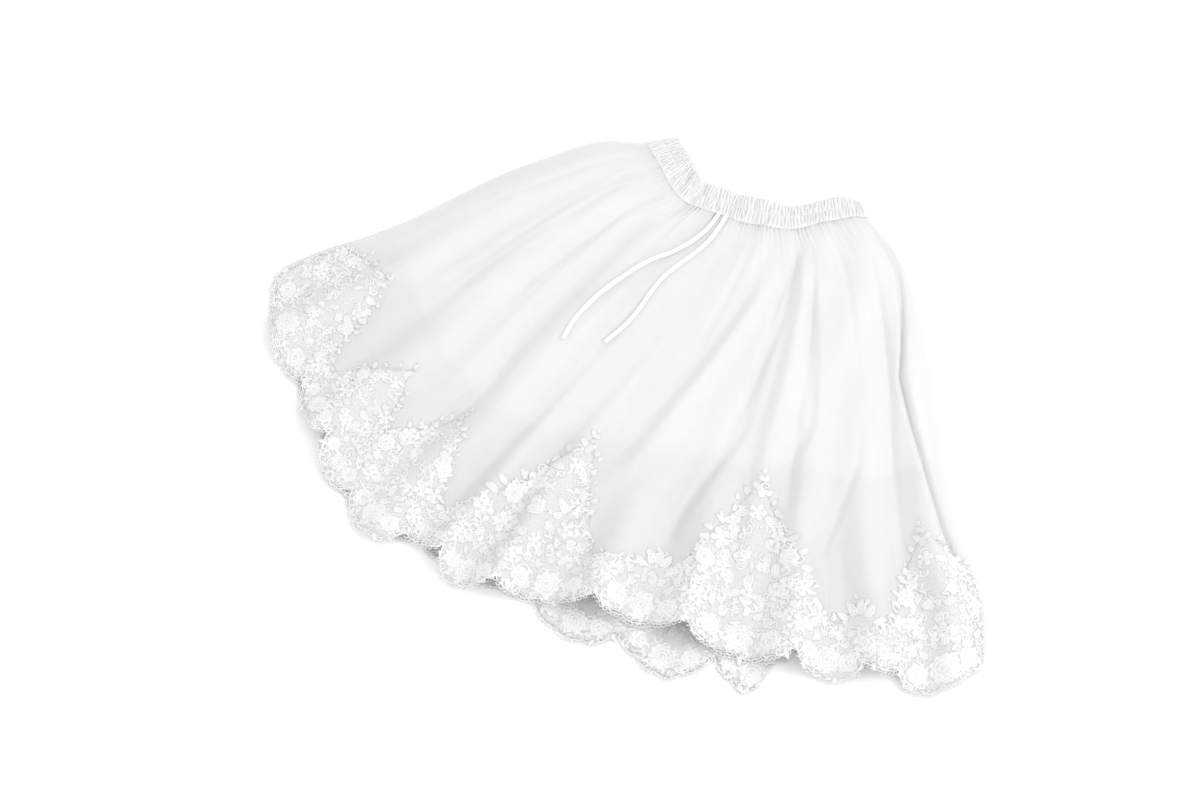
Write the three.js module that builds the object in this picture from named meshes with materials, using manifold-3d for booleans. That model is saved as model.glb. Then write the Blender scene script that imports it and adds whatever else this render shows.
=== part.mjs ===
// A gathered tulle skirt with a lace hem, laid flat on a table with its front up.
// Units are millimetres: +X runs from side to side, +Y from hem to waist, +Z up off the table.
// Every panel is a thin closed wall worked out from the flat outline below and a height above the table.
import * as THREE from 'three';
import { mergeVertices } from 'three/addons/utils/BufferGeometryUtils.js';
import Module from 'manifold-3d';

const wasm = await Module();
wasm.setup();

// ---------------------------------------------------------------- driving dimensions
const GAP = 0.3; // clearance at a seam and between cloth that touches
const TULLE = 1.2; // wall of the front and back panels
const LINING = 1; // wall of the two lining panels
const LACE = 1.4; // wall of the lace
const BAND = 2.2; // wall of the drawstring casing
const CORD = { wide: 7, thick: 4 };

const EDGE_ROLL = 34; // width over which the front rises from the side edge
const WAIST_GATHERS = 20; // soft gathers that leave the band on the front
const WAIST_GATHER_RISE = 2.2;
const WAIST_GATHER_REACH = 0.3; // share of the skirt's length where they have faded
const BAND_GATHERS = 48; // fine gathers on the front of the casing
const BAND_GATHER_RISE = 2.4;
const LINING_INSET = 14; // from the skirt's side edges
const LINING_LENGTH = { left: 0.68, right: 0.57 }; // shares of the skirt's length
const LOBE = { wide: 36, deep: 4, segments: 4 }; // small scallops along the lace's edge
const TULLE_SHORT = 6; // the tulle ends this far above the lace's edge in a notch
const LACE_START = 0.56; // share of the length where the lace zone begins

// ---------------------------------------------------------------- outline of the laid skirt
// Each line has evenly numbered stations: x and y in millimetres.
const line = (rows) => rows.map(([x, y]) => ({ x, y }));

const WAIST_SEAM = line([
  [-162, 316], [-131, 291], [-101, 268], [-68, 255], [-32, 256], [2, 259],
  [36, 266], [69, 277], [97, 298], [125, 320], [154, 341],
]);
const FRONT_HEM = line([
  [-524, -62], [-451, -173], [-354, -261], [-246, -325], [-126, -343], [-11, -318],
  [104, -293], [219, -281], [333, -261], [445, -236], [523, -159],
]);
const BACK_HEM = line([
  [-524, -62], [-499, -112], [-466, -160], [-422, -210], [-372, -255], [-319, -289],
  [-262, -315], [-198, -325], [-130, -328], [-64, -329], [2, -341], [60, -343],
  [117, -338], [170, -341], [222, -318], [270, -314], [293, -258], [362, -238],
  [434, -224], [482, -196], [523, -159],
]);
const LEFT_SIDE = line([
  [-162, 316], [-221, 291], [-269, 244], [-315, 194], [-355, 139], [-394, 83],
  [-439, 31], [-484, -13], [-524, -62],
]);
const RIGHT_SIDE = line([
  [154, 341], [220, 300], [270, 238], [314, 171], [353, 101], [394, 33],
  [438, -33], [487, -88], [523, -159],
]);
const BAND_TOP = line([
  [-126, 343], [-105, 327], [-87, 312], [-67, 298], [-37, 296], [-7, 298],
  [24, 305], [56, 309], [82, 328], [108, 349], [138, 356],
]);

// The lace hangs in groups of scallops, with a notch between two groups. from is the share of
// the hem where a group starts, notch its height there, and drop the group's lowest sag.
const FRONT_GROUPS = [
  { from: 0, notch: 4, drop: 14 }, { from: 0.13, notch: 18, drop: 2 },
  { from: 0.19, notch: 18, drop: 14 }, { from: 0.255, notch: 8, drop: 18 },
  { from: 0.35, notch: 26, drop: 14 }, { from: 0.444, notch: 8, drop: 10 },
  { from: 0.551, notch: 8, drop: 10 }, { from: 0.653, notch: 8, drop: 12 },
  { from: 0.767, notch: 14, drop: 12 }, { from: 0.858, notch: 16, drop: 18 },
  { from: 1, notch: 2, drop: 0 },
];
const BACK_GROUPS = [
  { from: 0, notch: 4, drop: 6 }, { from: 0.12, notch: 6, drop: 8 },
  { from: 0.24, notch: 6, drop: 8 }, { from: 0.36, notch: 6, drop: 8 },
  { from: 0.47, notch: 10, drop: 12 }, { from: 0.573, notch: 10, drop: 10 },
  { from: 0.69, notch: 12, drop: 8 }, { from: 0.8, notch: 4, drop: 6 },
  { from: 0.9, notch: 4, drop: 6 }, { from: 1, notch: 2, drop: 0 },
];

// ---------------------------------------------------------------- heights above the table
// How far the front stands above the back, along the length (0 at the waist, 1 at the hem).
const FRONT_RISE = [
  { length: 0, rise: 7 },
  { length: 0.2, rise: 12 },
  { length: 0.5, rise: 14 },
  { length: 0.8, rise: 8 },
  { length: 1, rise: 1.5 },
];

// Radial folds of the front. atWaist and atHem are shares of the width, from the left side;
// half is half the fold's width at the hem; rise is its height (a negative one is a trough);
// starts, full and ends are shares of the length: where it begins, is full and begins to fade.
const FOLDS = [
  { atWaist: 0.06, atHem: 0.070, half: 34, rise: 13, starts: 0.2, full: 0.7, ends: 1 },
  { atWaist: 0.16, atHem: 0.185, half: 44, rise: 14, starts: 0.05, full: 0.5, ends: 1 },
  { atWaist: 0.33, atHem: 0.305, half: 40, rise: 11, starts: 0.1, full: 0.5, ends: 1 },
  { atWaist: 0.40, atHem: 0.372, half: 28, rise: 17, starts: 0.4, full: 0.85, ends: 1 },
  { atWaist: 0.46, atHem: 0.444, half: 34, rise: 24, starts: 0.45, full: 0.95, ends: 1 },
  { atWaist: 0.67, atHem: 0.455, half: 34, rise: 9, starts: 0.05, full: 0.35, ends: 0.6 },
  { atWaist: 0.57, atHem: 0.551, half: 46, rise: 32, starts: 0.5, full: 1, ends: 1 },
  { atWaist: 0.65, atHem: 0.653, half: 44, rise: 30, starts: 0.5, full: 1, ends: 1 },
  { atWaist: 0.73, atHem: 0.700, half: 30, rise: 9, starts: 0.02, full: 0.25, ends: 0.7 },
  { atWaist: 0.79, atHem: 0.767, half: 42, rise: 27, starts: 0.3, full: 1, ends: 1 },
  { atWaist: 0.86, atHem: 0.862, half: 40, rise: 22, starts: 0.3, full: 1, ends: 1 },
  { atWaist: 0.95, atHem: 0.955, half: 34, rise: 16, starts: 0.2, full: 0.9, ends: 1 },
  { atWaist: 0.27, atHem: 0.270, half: 30, rise: -6, starts: 0.08, full: 0.4, ends: 0.8 },
  { atWaist: 0.72, atHem: 0.585, half: 16, rise: -4, starts: 0.02, full: 0.2, ends: 0.8 },
  { atWaist: 0.745, atHem: 0.760, half: 16, rise: -3, starts: 0.05, full: 0.3, ends: 0.6 },
  { atWaist: 0.91, atHem: 0.915, half: 18, rise: -4, starts: 0.05, full: 0.3, ends: 0.8 },
];
const FADE = 0.2; // share of the length over which a fold fades

// Shares of the length where the wall has a row of corners.
const PANEL_ROWS = [0, 0.05, 0.12, 0.22, 0.34, 0.46, LACE_START, 0.64, 0.73, 0.82, 0.91, 1];
const PANEL_COLUMNS = 80;

// ---------------------------------------------------------------- small helpers
const clamp01 = (value) => Math.min(Math.max(value, 0), 1);
const mix = (from, to, share) => from + (to - from) * share;
const smooth = (from, to, value) => THREE.MathUtils.smoothstep(value, from, to);
const steps = (count) => Array.from({ length: count + 1 }, (_, index) => index / count);

function curveOf(stations) {
  const points = stations.map(({ x, y }) => new THREE.Vector3(x, y, 0));
  return new THREE.CatmullRomCurve3(points, false, 'centripetal');
}

// The flat position of a point between four side lines (a Coons patch). Past the hem it goes
// straight on.
function patch(waist, hem, left, right) {
  const [top, bottom, start, end] = [waist, hem, left, right].map(curveOf);
  const inside = (across, along) => {
    const a = top.getPoint(across);
    const b = bottom.getPoint(across);
    const c = start.getPoint(along);
    const d = end.getPoint(along);
    const corner = (key) => mix(mix(waist[0][key], waist.at(-1)[key], across),
      mix(hem[0][key], hem.at(-1)[key], across), along);
    return {
      x: mix(a.x, b.x, along) + mix(c.x, d.x, across) - corner('x'),
      y: mix(a.y, b.y, along) + mix(c.y, d.y, across) - corner('y'),
    };
  };
  return (across, along) => {
    if (along <= 1) {
      return inside(across, along);
    }
    const back = inside(across, 0.98);
    const edge = inside(across, 1);
    const past = (along - 1) / 0.02;
    return { x: edge.x + (edge.x - back.x) * past, y: edge.y + (edge.y - back.y) * past };
  };
}

const distance = (a, b) => Math.hypot(a.x - b.x, a.y - b.y);

// A closed wall: the inner and outer skins are grids over the same rows and columns.
function wall(columns, rows, inner, outer) {
  const width = columns.length;
  const count = width * rows.length;
  const position = [];
  for (const skin of [inner, outer]) {
    for (const along of rows) {
      for (const across of columns) position.push(...skin(across, along));
    }
  }
  const index = [];
  const quad = (a, b, c, d) => index.push(a, b, c, a, c, d);
  for (let row = 0; row < rows.length - 1; row += 1) {
    for (let column = 0; column < width - 1; column += 1) {
      const a = row * width + column;
      quad(a, a + 1, a + width + 1, a + width);
      quad(count + a, count + a + width, count + a + width + 1, count + a + 1);
    }
  }
  // The outer quads above are split on the same diagonal as the inner ones.
  const rim = [];
  for (let column = 0; column < width; column += 1) rim.push(column);
  for (let row = 1; row < rows.length; row += 1) rim.push(row * width + width - 1);
  for (let column = width - 2; column >= 0; column -= 1) rim.push((rows.length - 1) * width + column);
  for (let row = rows.length - 2; row > 0; row -= 1) rim.push(row * width);
  rim.forEach((a, at) => {
    const b = rim[(at + 1) % rim.length];
    quad(a, count + a, count + b, b);
  });
  const geometry = new THREE.BufferGeometry();
  geometry.setAttribute('position', new THREE.Float32BufferAttribute(position, 3));
  geometry.setIndex(index);
  return geometry;
}

// ---------------------------------------------------------------- the laid form
const frontPlan = patch(WAIST_SEAM, FRONT_HEM, LEFT_SIDE, RIGHT_SIDE);
const backPlan = patch(WAIST_SEAM, BACK_HEM, LEFT_SIDE, RIGHT_SIDE);
const bandPlan = (() => {
  const low = curveOf(WAIST_SEAM);
  const high = curveOf(BAND_TOP);
  return (across, up) => {
    const a = low.getPoint(across);
    const b = high.getPoint(across);
    return { x: mix(a.x, b.x, up), y: mix(a.y, b.y, up) };
  };
})();

const HEM_LENGTH = curveOf(FRONT_HEM).getLength();
const skirtWidth = (along) => distance(frontPlan(0, along), frontPlan(1, along));
const skirtLength = (across) => distance(frontPlan(across, 0), frontPlan(across, 1));

// Height of the lace's edge above the hem line, without the small scallops and with them.
function groupEdge(groups, across) {
  const at = clamp01(across);
  const next = Math.max(groups.findIndex((group) => group.from >= at), 1);
  const low = groups[next - 1];
  const high = groups[next];
  const share = (at - low.from) / (high.from - low.from);
  const sag = Math.sqrt(Math.max(Math.sin(Math.PI * share), 0));
  const lobes = Math.round((high.from - low.from) * HEM_LENGTH / LOBE.wide);
  const scallop = LOBE.deep * Math.abs(Math.sin(Math.PI * lobes * share));
  const line = mix(mix(low.notch, high.notch, share), -low.drop, sag);
  return { line, scalloped: line - scallop };
}

// The share of the length where the tulle ends under the lace.
function tulleEnd(groups, across) {
  const short = Math.max(groupEdge(groups, across).line + TULLE_SHORT, 0);
  return 1 - short / skirtLength(across);
}

// The back lies on the table, and over its lace near the hem. The front's edges lie on the back.
const LIFT_ROWS = { front: [0.46, LACE_START], back: [LACE_START, 0.62] };
const liftOf = (rows, along) => (LACE + GAP) * clamp01((along - rows[0]) / (rows[1] - rows[0]));

// 0 at a side edge, 1 past the roll.
function edgeRoll(across, along) {
  const inset = Math.min(across, 1 - across) * skirtWidth(clamp01(along));
  const share = clamp01(inset / EDGE_ROLL);
  return 1 - (1 - share) ** 2;
}

function frontRise(along) {
  const at = clamp01(along);
  const next = Math.max(FRONT_RISE.findIndex((row) => row.length >= at), 1);
  const low = FRONT_RISE[next - 1];
  const high = FRONT_RISE[next];
  return mix(low.rise, high.rise, smooth(low.length, high.length, at));
}

function foldRise(across, along) {
  const at = clamp01(along);
  let rise = 0;
  for (const fold of FOLDS) {
    const middle = mix(fold.atWaist, fold.atHem, at);
    const half = fold.half * mix(0.45, 1, at);
    const off = Math.abs(across - middle) * skirtWidth(at) / half;
    const bell = off < 1 ? 0.5 + 0.5 * Math.cos(Math.PI * off) : 0;
    const grows = smooth(fold.starts, fold.full, at);
    rise += fold.rise * bell * grows * (1 - smooth(fold.ends, fold.ends + FADE, at));
  }
  return rise;
}

function gatherRise(across, along) {
  const fade = 1 - clamp01(along / WAIST_GATHER_REACH);
  const wave = 0.5 + 0.5 * Math.cos(2 * Math.PI * WAIST_GATHERS * across);
  return WAIST_GATHER_RISE * wave * fade;
}

function frontInner(across, along) {
  const { x, y } = frontPlan(across, along);
  const rise = Math.max(frontRise(along) + foldRise(across, along) + gatherRise(across, along), 0);
  const seat = liftOf(LIFT_ROWS.front, along) + TULLE + GAP;
  return new THREE.Vector3(x, y, seat + edgeRoll(across, along) * rise);
}

// A point that stands off the front's inner skin, square to the cloth.
const NORMAL_STEP = 0.004;
function frontOffset(across, along, off) {
  const a = frontInner(clamp01(across - NORMAL_STEP), along);
  const b = frontInner(clamp01(across + NORMAL_STEP), along);
  const c = frontInner(across, Math.max(along - NORMAL_STEP, 0));
  const d = frontInner(across, along + NORMAL_STEP);
  const normal = new THREE.Vector3().crossVectors(d.sub(c), b.sub(a)).normalize();
  return frontInner(across, along).addScaledVector(normal, off).toArray();
}

// ---------------------------------------------------------------- tulle panels and lining
function frontPanel() {
  const skin = (off) => (across, row) => {
    const along = row < 1 ? row : tulleEnd(FRONT_GROUPS, across);
    return frontOffset(across, along, off);
  };
  return wall(steps(PANEL_COLUMNS), PANEL_ROWS, skin(0), skin(TULLE));
}

const BACK_ROWS = [0, 0.12, 0.25, 0.4, ...LIFT_ROWS.back, 0.8, 1];
const BACK_COLUMNS = 40;

function backPanel() {
  const skin = (off) => (across, row) => {
    const along = row < 1 ? row : tulleEnd(BACK_GROUPS, across);
    const { x, y } = backPlan(across, along);
    return [x, y, liftOf(LIFT_ROWS.back, along) + off];
  };
  return wall(steps(BACK_COLUMNS), BACK_ROWS, skin(0), skin(TULLE));
}

// A lining panel lies flat on the back, inside the side edges.
function liningPanel(level) {
  const [flat, raised] = LIFT_ROWS.front;
  const skin = (off) => (across, row) => {
    const end = mix(LINING_LENGTH.left, LINING_LENGTH.right, across);
    const along = row < 1 ? row : end;
    const inset = LINING_INSET / skirtWidth(along);
    const { x, y } = frontPlan(mix(inset, 1 - inset, across), along);
    return [x, y, liftOf(LIFT_ROWS.front, along) + level + off];
  };
  return wall(steps(24), [0, 0.2, flat, raised, 1], skin(0), skin(LINING));
}

// ---------------------------------------------------------------- gathered casing
// Rows down the casing: two puffed rows with a stitched line between them.
const BAND_ROWS = [
  { up: 1, puff: 0.3 },
  { up: 0.76, puff: 1 },
  { up: 0.5, puff: 0.1 },
  { up: 0.26, puff: 1 },
  { up: 0.01, puff: 0.15 },
];
const BAND_HOLLOW = { seam: 5.8, top: 3.6 }; // between the casing's front and back

function bandFront() {
  const puffAt = (up) => BAND_ROWS.find((row) => row.up === up).puff;
  const level = (across, up) => BAND + GAP
    + edgeRoll(across, 0) * mix(BAND_HOLLOW.seam, BAND_HOLLOW.top, up);
  const inner = (across, up) => {
    const { x, y } = bandPlan(across, up);
    return [x, y, level(across, up)];
  };
  const outer = (across, up) => {
    const { x, y } = bandPlan(across, up);
    const wave = 0.5 + 0.5 * Math.cos(2 * Math.PI * BAND_GATHERS * across);
    const puff = BAND_GATHER_RISE * puffAt(up) * (0.35 + 0.65 * wave);
    return [x, y, level(across, up) + BAND + puff];
  };
  return wall(steps(BAND_GATHERS * 2), BAND_ROWS.map((row) => row.up), inner, outer);
}

function bandBack() {
  const skin = (level) => (across, up) => {
    const { x, y } = bandPlan(across, up);
    return [x, y, level];
  };
  return wall(steps(24), [0.94, 0.01], skin(0), skin(BAND));
}

// ---------------------------------------------------------------- lace
// Half the outline of a full spray: out is the distance along the hem from its middle, up the
// height above the hem line.
const SPRAY = [
  { out: 0, up: 226 }, { out: 14, up: 208 }, { out: 30, up: 192 }, { out: 46, up: 176 },
  { out: 56, up: 156 }, { out: 68, up: 140 }, { out: 84, up: 120 }, { out: 98, up: 96 },
  { out: 118, up: 72 }, { out: 134, up: 58 },
];
// at is the share of the hem under the spray's tip. high is its height beside a full one, and
// left and right its width on each side, because a fold takes in part of some sprays.
const SPRAYS = [
  { at: 0.075, high: 0.72, left: 1.3, right: 0.6 }, { at: 0.197, high: 0.7, left: 0.6, right: 0.5 },
  { at: 0.29, high: 0.83, left: 0.7, right: 0.6 }, { at: 0.459, high: 1, left: 1.1, right: 0.65 },
  { at: 0.712, high: 0.97, left: 0.9, right: 0.95 }, { at: 0.941, high: 0.85, left: 0.75, right: 1.1 },
];
const sprayWidth = (spray, side) => (side < 0 ? spray.left : spray.right);
const LOW_BORDER = 60; // height of the border between two sprays
const LOW_MOTIFS = [{ at: 0.6, up: 84, half: 34 }, { at: 0.844, up: 96, half: 30 }];

// Open net between the motifs of one spray: the largest first.
const OPENINGS = [
  { out: 0, up: 138, wide: 28, high: 50 },
  { out: 24, up: 84, wide: 22, high: 28 },
  { out: 22, up: 184, wide: 18, high: 26 },
  { out: 66, up: 102, wide: 18, high: 16 },
];
const OPENING_SIDES = 6;

// From the lace's own flat drawing to the laid skirt.
function laceToPlan(along, up) {
  const across = clamp01(along / HEM_LENGTH);
  return frontPlan(across, 1 - up / skirtLength(across));
}

// Height of the border's upper outline at a place along the hem.
function borderHeight(along) {
  const across = along / HEM_LENGTH;
  const sprays = SPRAYS.map((spray) => {
    const { at, high } = spray;
    const from = along - at * HEM_LENGTH;
    const out = Math.abs(from) / sprayWidth(spray, from);
    const next = SPRAY.findIndex((row) => row.out >= out);
    if (next < 0) return 0;
    if (next === 0) return high * SPRAY[0].up;
    const low = SPRAY[next - 1];
    return high * mix(low.up, SPRAY[next].up, (out - low.out) / (SPRAY[next].out - low.out));
  });
  const motifs = LOW_MOTIFS.map(({ at, up, half }) => {
    const off = Math.abs(across - at) * HEM_LENGTH / half;
    return off < 1 ? mix(up, LOW_BORDER, off) : 0;
  });
  return Math.max(LOW_BORDER, ...sprays, ...motifs);
}

function prism(points, low, high) {
  const shape = new THREE.Shape(points.map(({ x, y }) => new THREE.Vector2(x, y)));
  const geometry = new THREE.ExtrudeGeometry(shape, { depth: high - low, bevelEnabled: false, steps: 1 });
  return geometry.translate(0, 0, low);
}

function toSolid(geometry) {
  const bare = geometry.clone();
  bare.deleteAttribute('normal');
  bare.deleteAttribute('uv');
  const merged = mergeVertices(bare, 1e-4);
  return new wasm.Manifold(new wasm.Mesh({
    numProp: 3,
    vertProperties: new Float32Array(merged.attributes.position.array),
    triVerts: new Uint32Array(merged.index.array),
  }));
}

function toGeometry(solid) {
  const mesh = solid.getMesh();
  const geometry = new THREE.BufferGeometry();
  geometry.setAttribute('position', new THREE.BufferAttribute(mesh.vertProperties, 3));
  geometry.setIndex(new THREE.BufferAttribute(mesh.triVerts, 1));
  return geometry;
}

// The border's outline, in the flat drawing: the sprays above, the scallops below.
const EDGE_INSET = 6; // the lace stops short of the side edges
const BORDER_STEPS = 96; // corners of the upper outline
function borderOutline(height, edge) {
  const marks = new Set(steps(BORDER_STEPS).map((share) => mix(EDGE_INSET, HEM_LENGTH - EDGE_INSET, share)));
  for (const { at } of [...SPRAYS, ...LOW_MOTIFS]) marks.add(at * HEM_LENGTH);
  const across = [...marks].sort((a, b) => a - b);
  const points = across.map((along) => ({ along, up: borderHeight(along) * height }));
  const count = Math.round((HEM_LENGTH - 2 * EDGE_INSET) * LOBE.segments / LOBE.wide);
  const scallops = steps(count).map((share) => {
    const along = mix(EDGE_INSET, HEM_LENGTH - EDGE_INSET, share);
    return { along, up: groupEdge(edge, along / HEM_LENGTH).scalloped };
  });
  return points.concat(scallops.reverse());
}

function openingPoints(spray, side, { out, up, wide, high }) {
  return steps(OPENING_SIDES).slice(0, -1).map((turn) => {
    const angle = turn * 2 * Math.PI;
    const from = side * out + Math.cos(angle) * wide / 2;
    const height = up + Math.sin(angle) * high / 2;
    return laceToPlan(spray.at * HEM_LENGTH + from * sprayWidth(spray, side), height * spray.high);
  });
}

function laceFront() {
  const lowest = Math.max(...FRONT_GROUPS.map((group) => group.drop)) + LOBE.deep;
  const past = 1 + 1.2 * lowest / skirtLength(0.5);
  const rows = [...PANEL_ROWS.filter((along) => along >= LACE_START), past];
  const skin = (off) => (across, along) => frontOffset(across, along, off);
  const sheet = wall(steps(PANEL_COLUMNS), rows, skin(TULLE + GAP), skin(TULLE + GAP + LACE));
  const outline = borderOutline(1, FRONT_GROUPS).map(({ along, up }) => laceToPlan(along, up));
  let lace = toSolid(sheet).intersect(toSolid(prism(outline, -5, 90)));
  for (const spray of SPRAYS) {
    for (const opening of OPENINGS) {
      for (const side of opening.out ? [-1, 1] : [1]) {
        const along = spray.at * HEM_LENGTH + side * opening.out * sprayWidth(spray, side);
        if (along < opening.wide + EDGE_INSET || along > HEM_LENGTH - opening.wide - EDGE_INSET) continue;
        lace = lace.subtract(toSolid(prism(openingPoints(spray, side, opening), -5, 90)));
      }
    }
  }
  return toGeometry(lace);
}

function laceBack() {
  const toPlan = ({ along, up }) => {
    const across = clamp01(along / HEM_LENGTH);
    return backPlan(across, 1 - up / skirtLength(across));
  };
  return prism(borderOutline(0.9, BACK_GROUPS).map(toPlan), 0, LACE);
}

// ---------------------------------------------------------------- drawstring
// The two free ends lie on the front, from the casing's seam to the tip: x, y and height.
const DRAWSTRING = {
  left: [
    [-26.4, 258, 14.4], [-29, 238, 14.5], [-34, 220, 15.9], [-42.1, 202, 17.1],
    [-51.5, 187, 17.3], [-62.4, 173, 17], [-74, 160, 18.4], [-84.9, 146, 19.6],
    [-93.9, 131, 20.6], [-102.1, 115, 22.3], [-110, 99, 23.8], [-117.3, 83, 25],
    [-123.5, 66, 25.9], [-128.7, 49, 26.7], [-132.5, 32, 27.6], [-134.3, 15, 28.6],
    [-134.6, -3, 29.4],
  ],
  right: [
    [-16.6, 258, 14.5], [-17.6, 240, 15.1], [-19.9, 223, 16.1], [-23.3, 208, 16.9],
    [-28.7, 194, 16.9], [-35.4, 180, 16.9], [-42.5, 166, 17.6], [-49, 152, 17.9],
    [-54.3, 138, 18.1], [-58.2, 123, 18.1], [-60.8, 108, 18.2], [-62.7, 93, 18.2],
    [-65, 78, 18.3], [-68.3, 63, 18.6], [-73.1, 48, 18.9], [-78.9, 34, 19.3],
    [-84.9, 20, 19.6],
  ],
};
const CORD_SIDES = 8;

function drawstring(route) {
  const path = new THREE.CatmullRomCurve3(route.map((at) => new THREE.Vector3(...at)));
  const section = steps(CORD_SIDES).slice(0, -1).map((turn) => {
    const angle = turn * 2 * Math.PI;
    return new THREE.Vector2(Math.cos(angle) * CORD.thick / 2, Math.sin(angle) * CORD.wide / 2);
  });
  const stepCount = Math.round(path.getLength() / (2.2 * CORD.wide));
  return new THREE.ExtrudeGeometry(new THREE.Shape(section), { steps: stepCount, extrudePath: path });
}

// ---------------------------------------------------------------- the skirt
const FINISHES = {
  tulle: { color: '#f3f5f4', roughness: 0.85 },
  lining: { color: '#fafbfa', roughness: 0.8 },
  lace: { color: '#f7f8f7', roughness: 0.75 },
  band: { color: '#f4f5f4', roughness: 0.8 },
  cord: { color: '#fbfbfa', roughness: 0.6 },
};

function piece(name, geometry, finish) {
  const material = new THREE.MeshStandardMaterial({ metalness: 0, ...FINISHES[finish] });
  const mesh = new THREE.Mesh(geometry, material);
  mesh.name = name;
  return mesh;
}

// Moves the middle of the laid skirt's footprint to the origin.
const FOOTPRINT_MIDDLE = { x: -0.3, y: -2.9 };

const skirt = new THREE.Group();
skirt.position.set(-FOOTPRINT_MIDDLE.x, -FOOTPRINT_MIDDLE.y, 0);
skirt.add(piece('skirt_front', frontPanel(), 'tulle'));
skirt.add(piece('skirt_back', backPanel(), 'tulle'));
skirt.add(piece('lining_back', liningPanel(TULLE + GAP), 'lining'));
skirt.add(piece('lining_front', liningPanel(TULLE + LINING + 2 * GAP), 'lining'));
skirt.add(piece('waistband_front', bandFront(), 'band'));
skirt.add(piece('waistband_back', bandBack(), 'band'));
skirt.add(piece('lace_front', laceFront(), 'lace'));
skirt.add(piece('lace_back', laceBack(), 'lace'));
skirt.add(piece('drawstring_left', drawstring(DRAWSTRING.left), 'cord'));
skirt.add(piece('drawstring_right', drawstring(DRAWSTRING.right), 'cord'));

export default skirt;
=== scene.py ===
# %% [markdown]
# A gathered tulle skirt with a lace hem, laid flat with its front up.
# The imported CAD model is the fixed frame: every piece here lies where its CAD node lies.
# This first cell loads it.

# %% Load the frame
import math

import bmesh
import bpy
import numpy as np
from mathutils import Matrix, Vector


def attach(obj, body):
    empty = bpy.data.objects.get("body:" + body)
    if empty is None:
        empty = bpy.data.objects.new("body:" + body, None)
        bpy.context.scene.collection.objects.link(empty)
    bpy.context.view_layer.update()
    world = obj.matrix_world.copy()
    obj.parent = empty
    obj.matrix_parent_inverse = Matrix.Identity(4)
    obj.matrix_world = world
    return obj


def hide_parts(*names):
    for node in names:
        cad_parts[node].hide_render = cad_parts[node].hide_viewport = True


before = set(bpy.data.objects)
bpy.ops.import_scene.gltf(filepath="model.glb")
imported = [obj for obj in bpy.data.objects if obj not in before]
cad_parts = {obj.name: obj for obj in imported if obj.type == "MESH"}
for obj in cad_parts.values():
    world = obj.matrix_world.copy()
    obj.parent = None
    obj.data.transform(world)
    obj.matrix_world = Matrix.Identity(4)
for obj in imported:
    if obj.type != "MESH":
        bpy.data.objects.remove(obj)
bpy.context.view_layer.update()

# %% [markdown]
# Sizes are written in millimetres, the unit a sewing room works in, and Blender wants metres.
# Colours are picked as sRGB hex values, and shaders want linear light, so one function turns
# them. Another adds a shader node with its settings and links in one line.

MM = 0.001
random = np.random.default_rng(7)


def linear(hex_value):
    """An sRGB hex colour as linear red, green, blue and alpha."""
    channels = [int(hex_value[i : i + 2], 16) / 255 for i in (1, 3, 5)]
    curve = [c / 12.92 if c <= 0.04045 else ((c + 0.055) / 1.055) ** 2.4 for c in channels]
    return (*curve, 1.0)


def add_node(tree, kind, links=(), **settings):
    """Adds a node. A setting named like a socket sets that socket, any other sets a property."""
    node = tree.nodes.new(kind)
    for name, value in settings.items():
        socket = node.inputs.get(name.replace("_", " "))
        if socket is not None:
            socket.default_value = value
        else:
            setattr(node, name, value)
    for source, target in links:
        tree.links.new(source, node.inputs[target])
    return node


print("frame nodes:", sorted(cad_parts))

# %% [markdown]
# The camera comes first, because the cords are measured against what it sees. The skirt lies on
# a table and is seen from its hem side, turned a little to the right, from high up. A long lens
# keeps the outline close to its flat cut.

# %% Camera
FOOTPRINT_MIDDLE = np.array([-0.3, -2.9])  # the CAD part moves this point to the origin
VIEW_AZIMUTH, VIEW_ELEVATION = 25.0, 68.0
LENS, SENSOR = 70.0, 36.0
LOOK_AT = Vector((-59.8, -45.6, 0.0)) * MM
CAMERA_DISTANCE = 3.033


def aim_camera():
    azimuth, elevation = math.radians(VIEW_AZIMUTH), math.radians(VIEW_ELEVATION)
    back = Vector((math.sin(azimuth) * math.cos(elevation),
                   -math.cos(azimuth) * math.cos(elevation), math.sin(elevation)))
    right = Vector((math.cos(azimuth), math.sin(azimuth), 0))
    up = back.cross(right)
    data = bpy.data.cameras.new("camera")
    data.lens, data.sensor_width = LENS, SENSOR
    camera = bpy.data.objects.new("camera", data)
    turn = Matrix((right, up, back)).transposed().to_4x4()
    camera.matrix_world = Matrix.Translation(LOOK_AT + back * CAMERA_DISTANCE) @ turn
    bpy.context.scene.collection.objects.link(camera)
    bpy.context.scene.camera = camera
    return camera


camera = aim_camera()
print("camera at", [round(v, 3) for v in camera.location])

# %% [markdown]
# A laid skirt is a fan. Four lines bound it: the waist seam, the hem and the two side edges.
# Each line is a short table of stations, joined by one smooth curve, and a Coons patch blends
# the four into the whole fan. A place on the cloth is then two shares: across, from the left
# side to the right, and along, from the waist to the hem.

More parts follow.
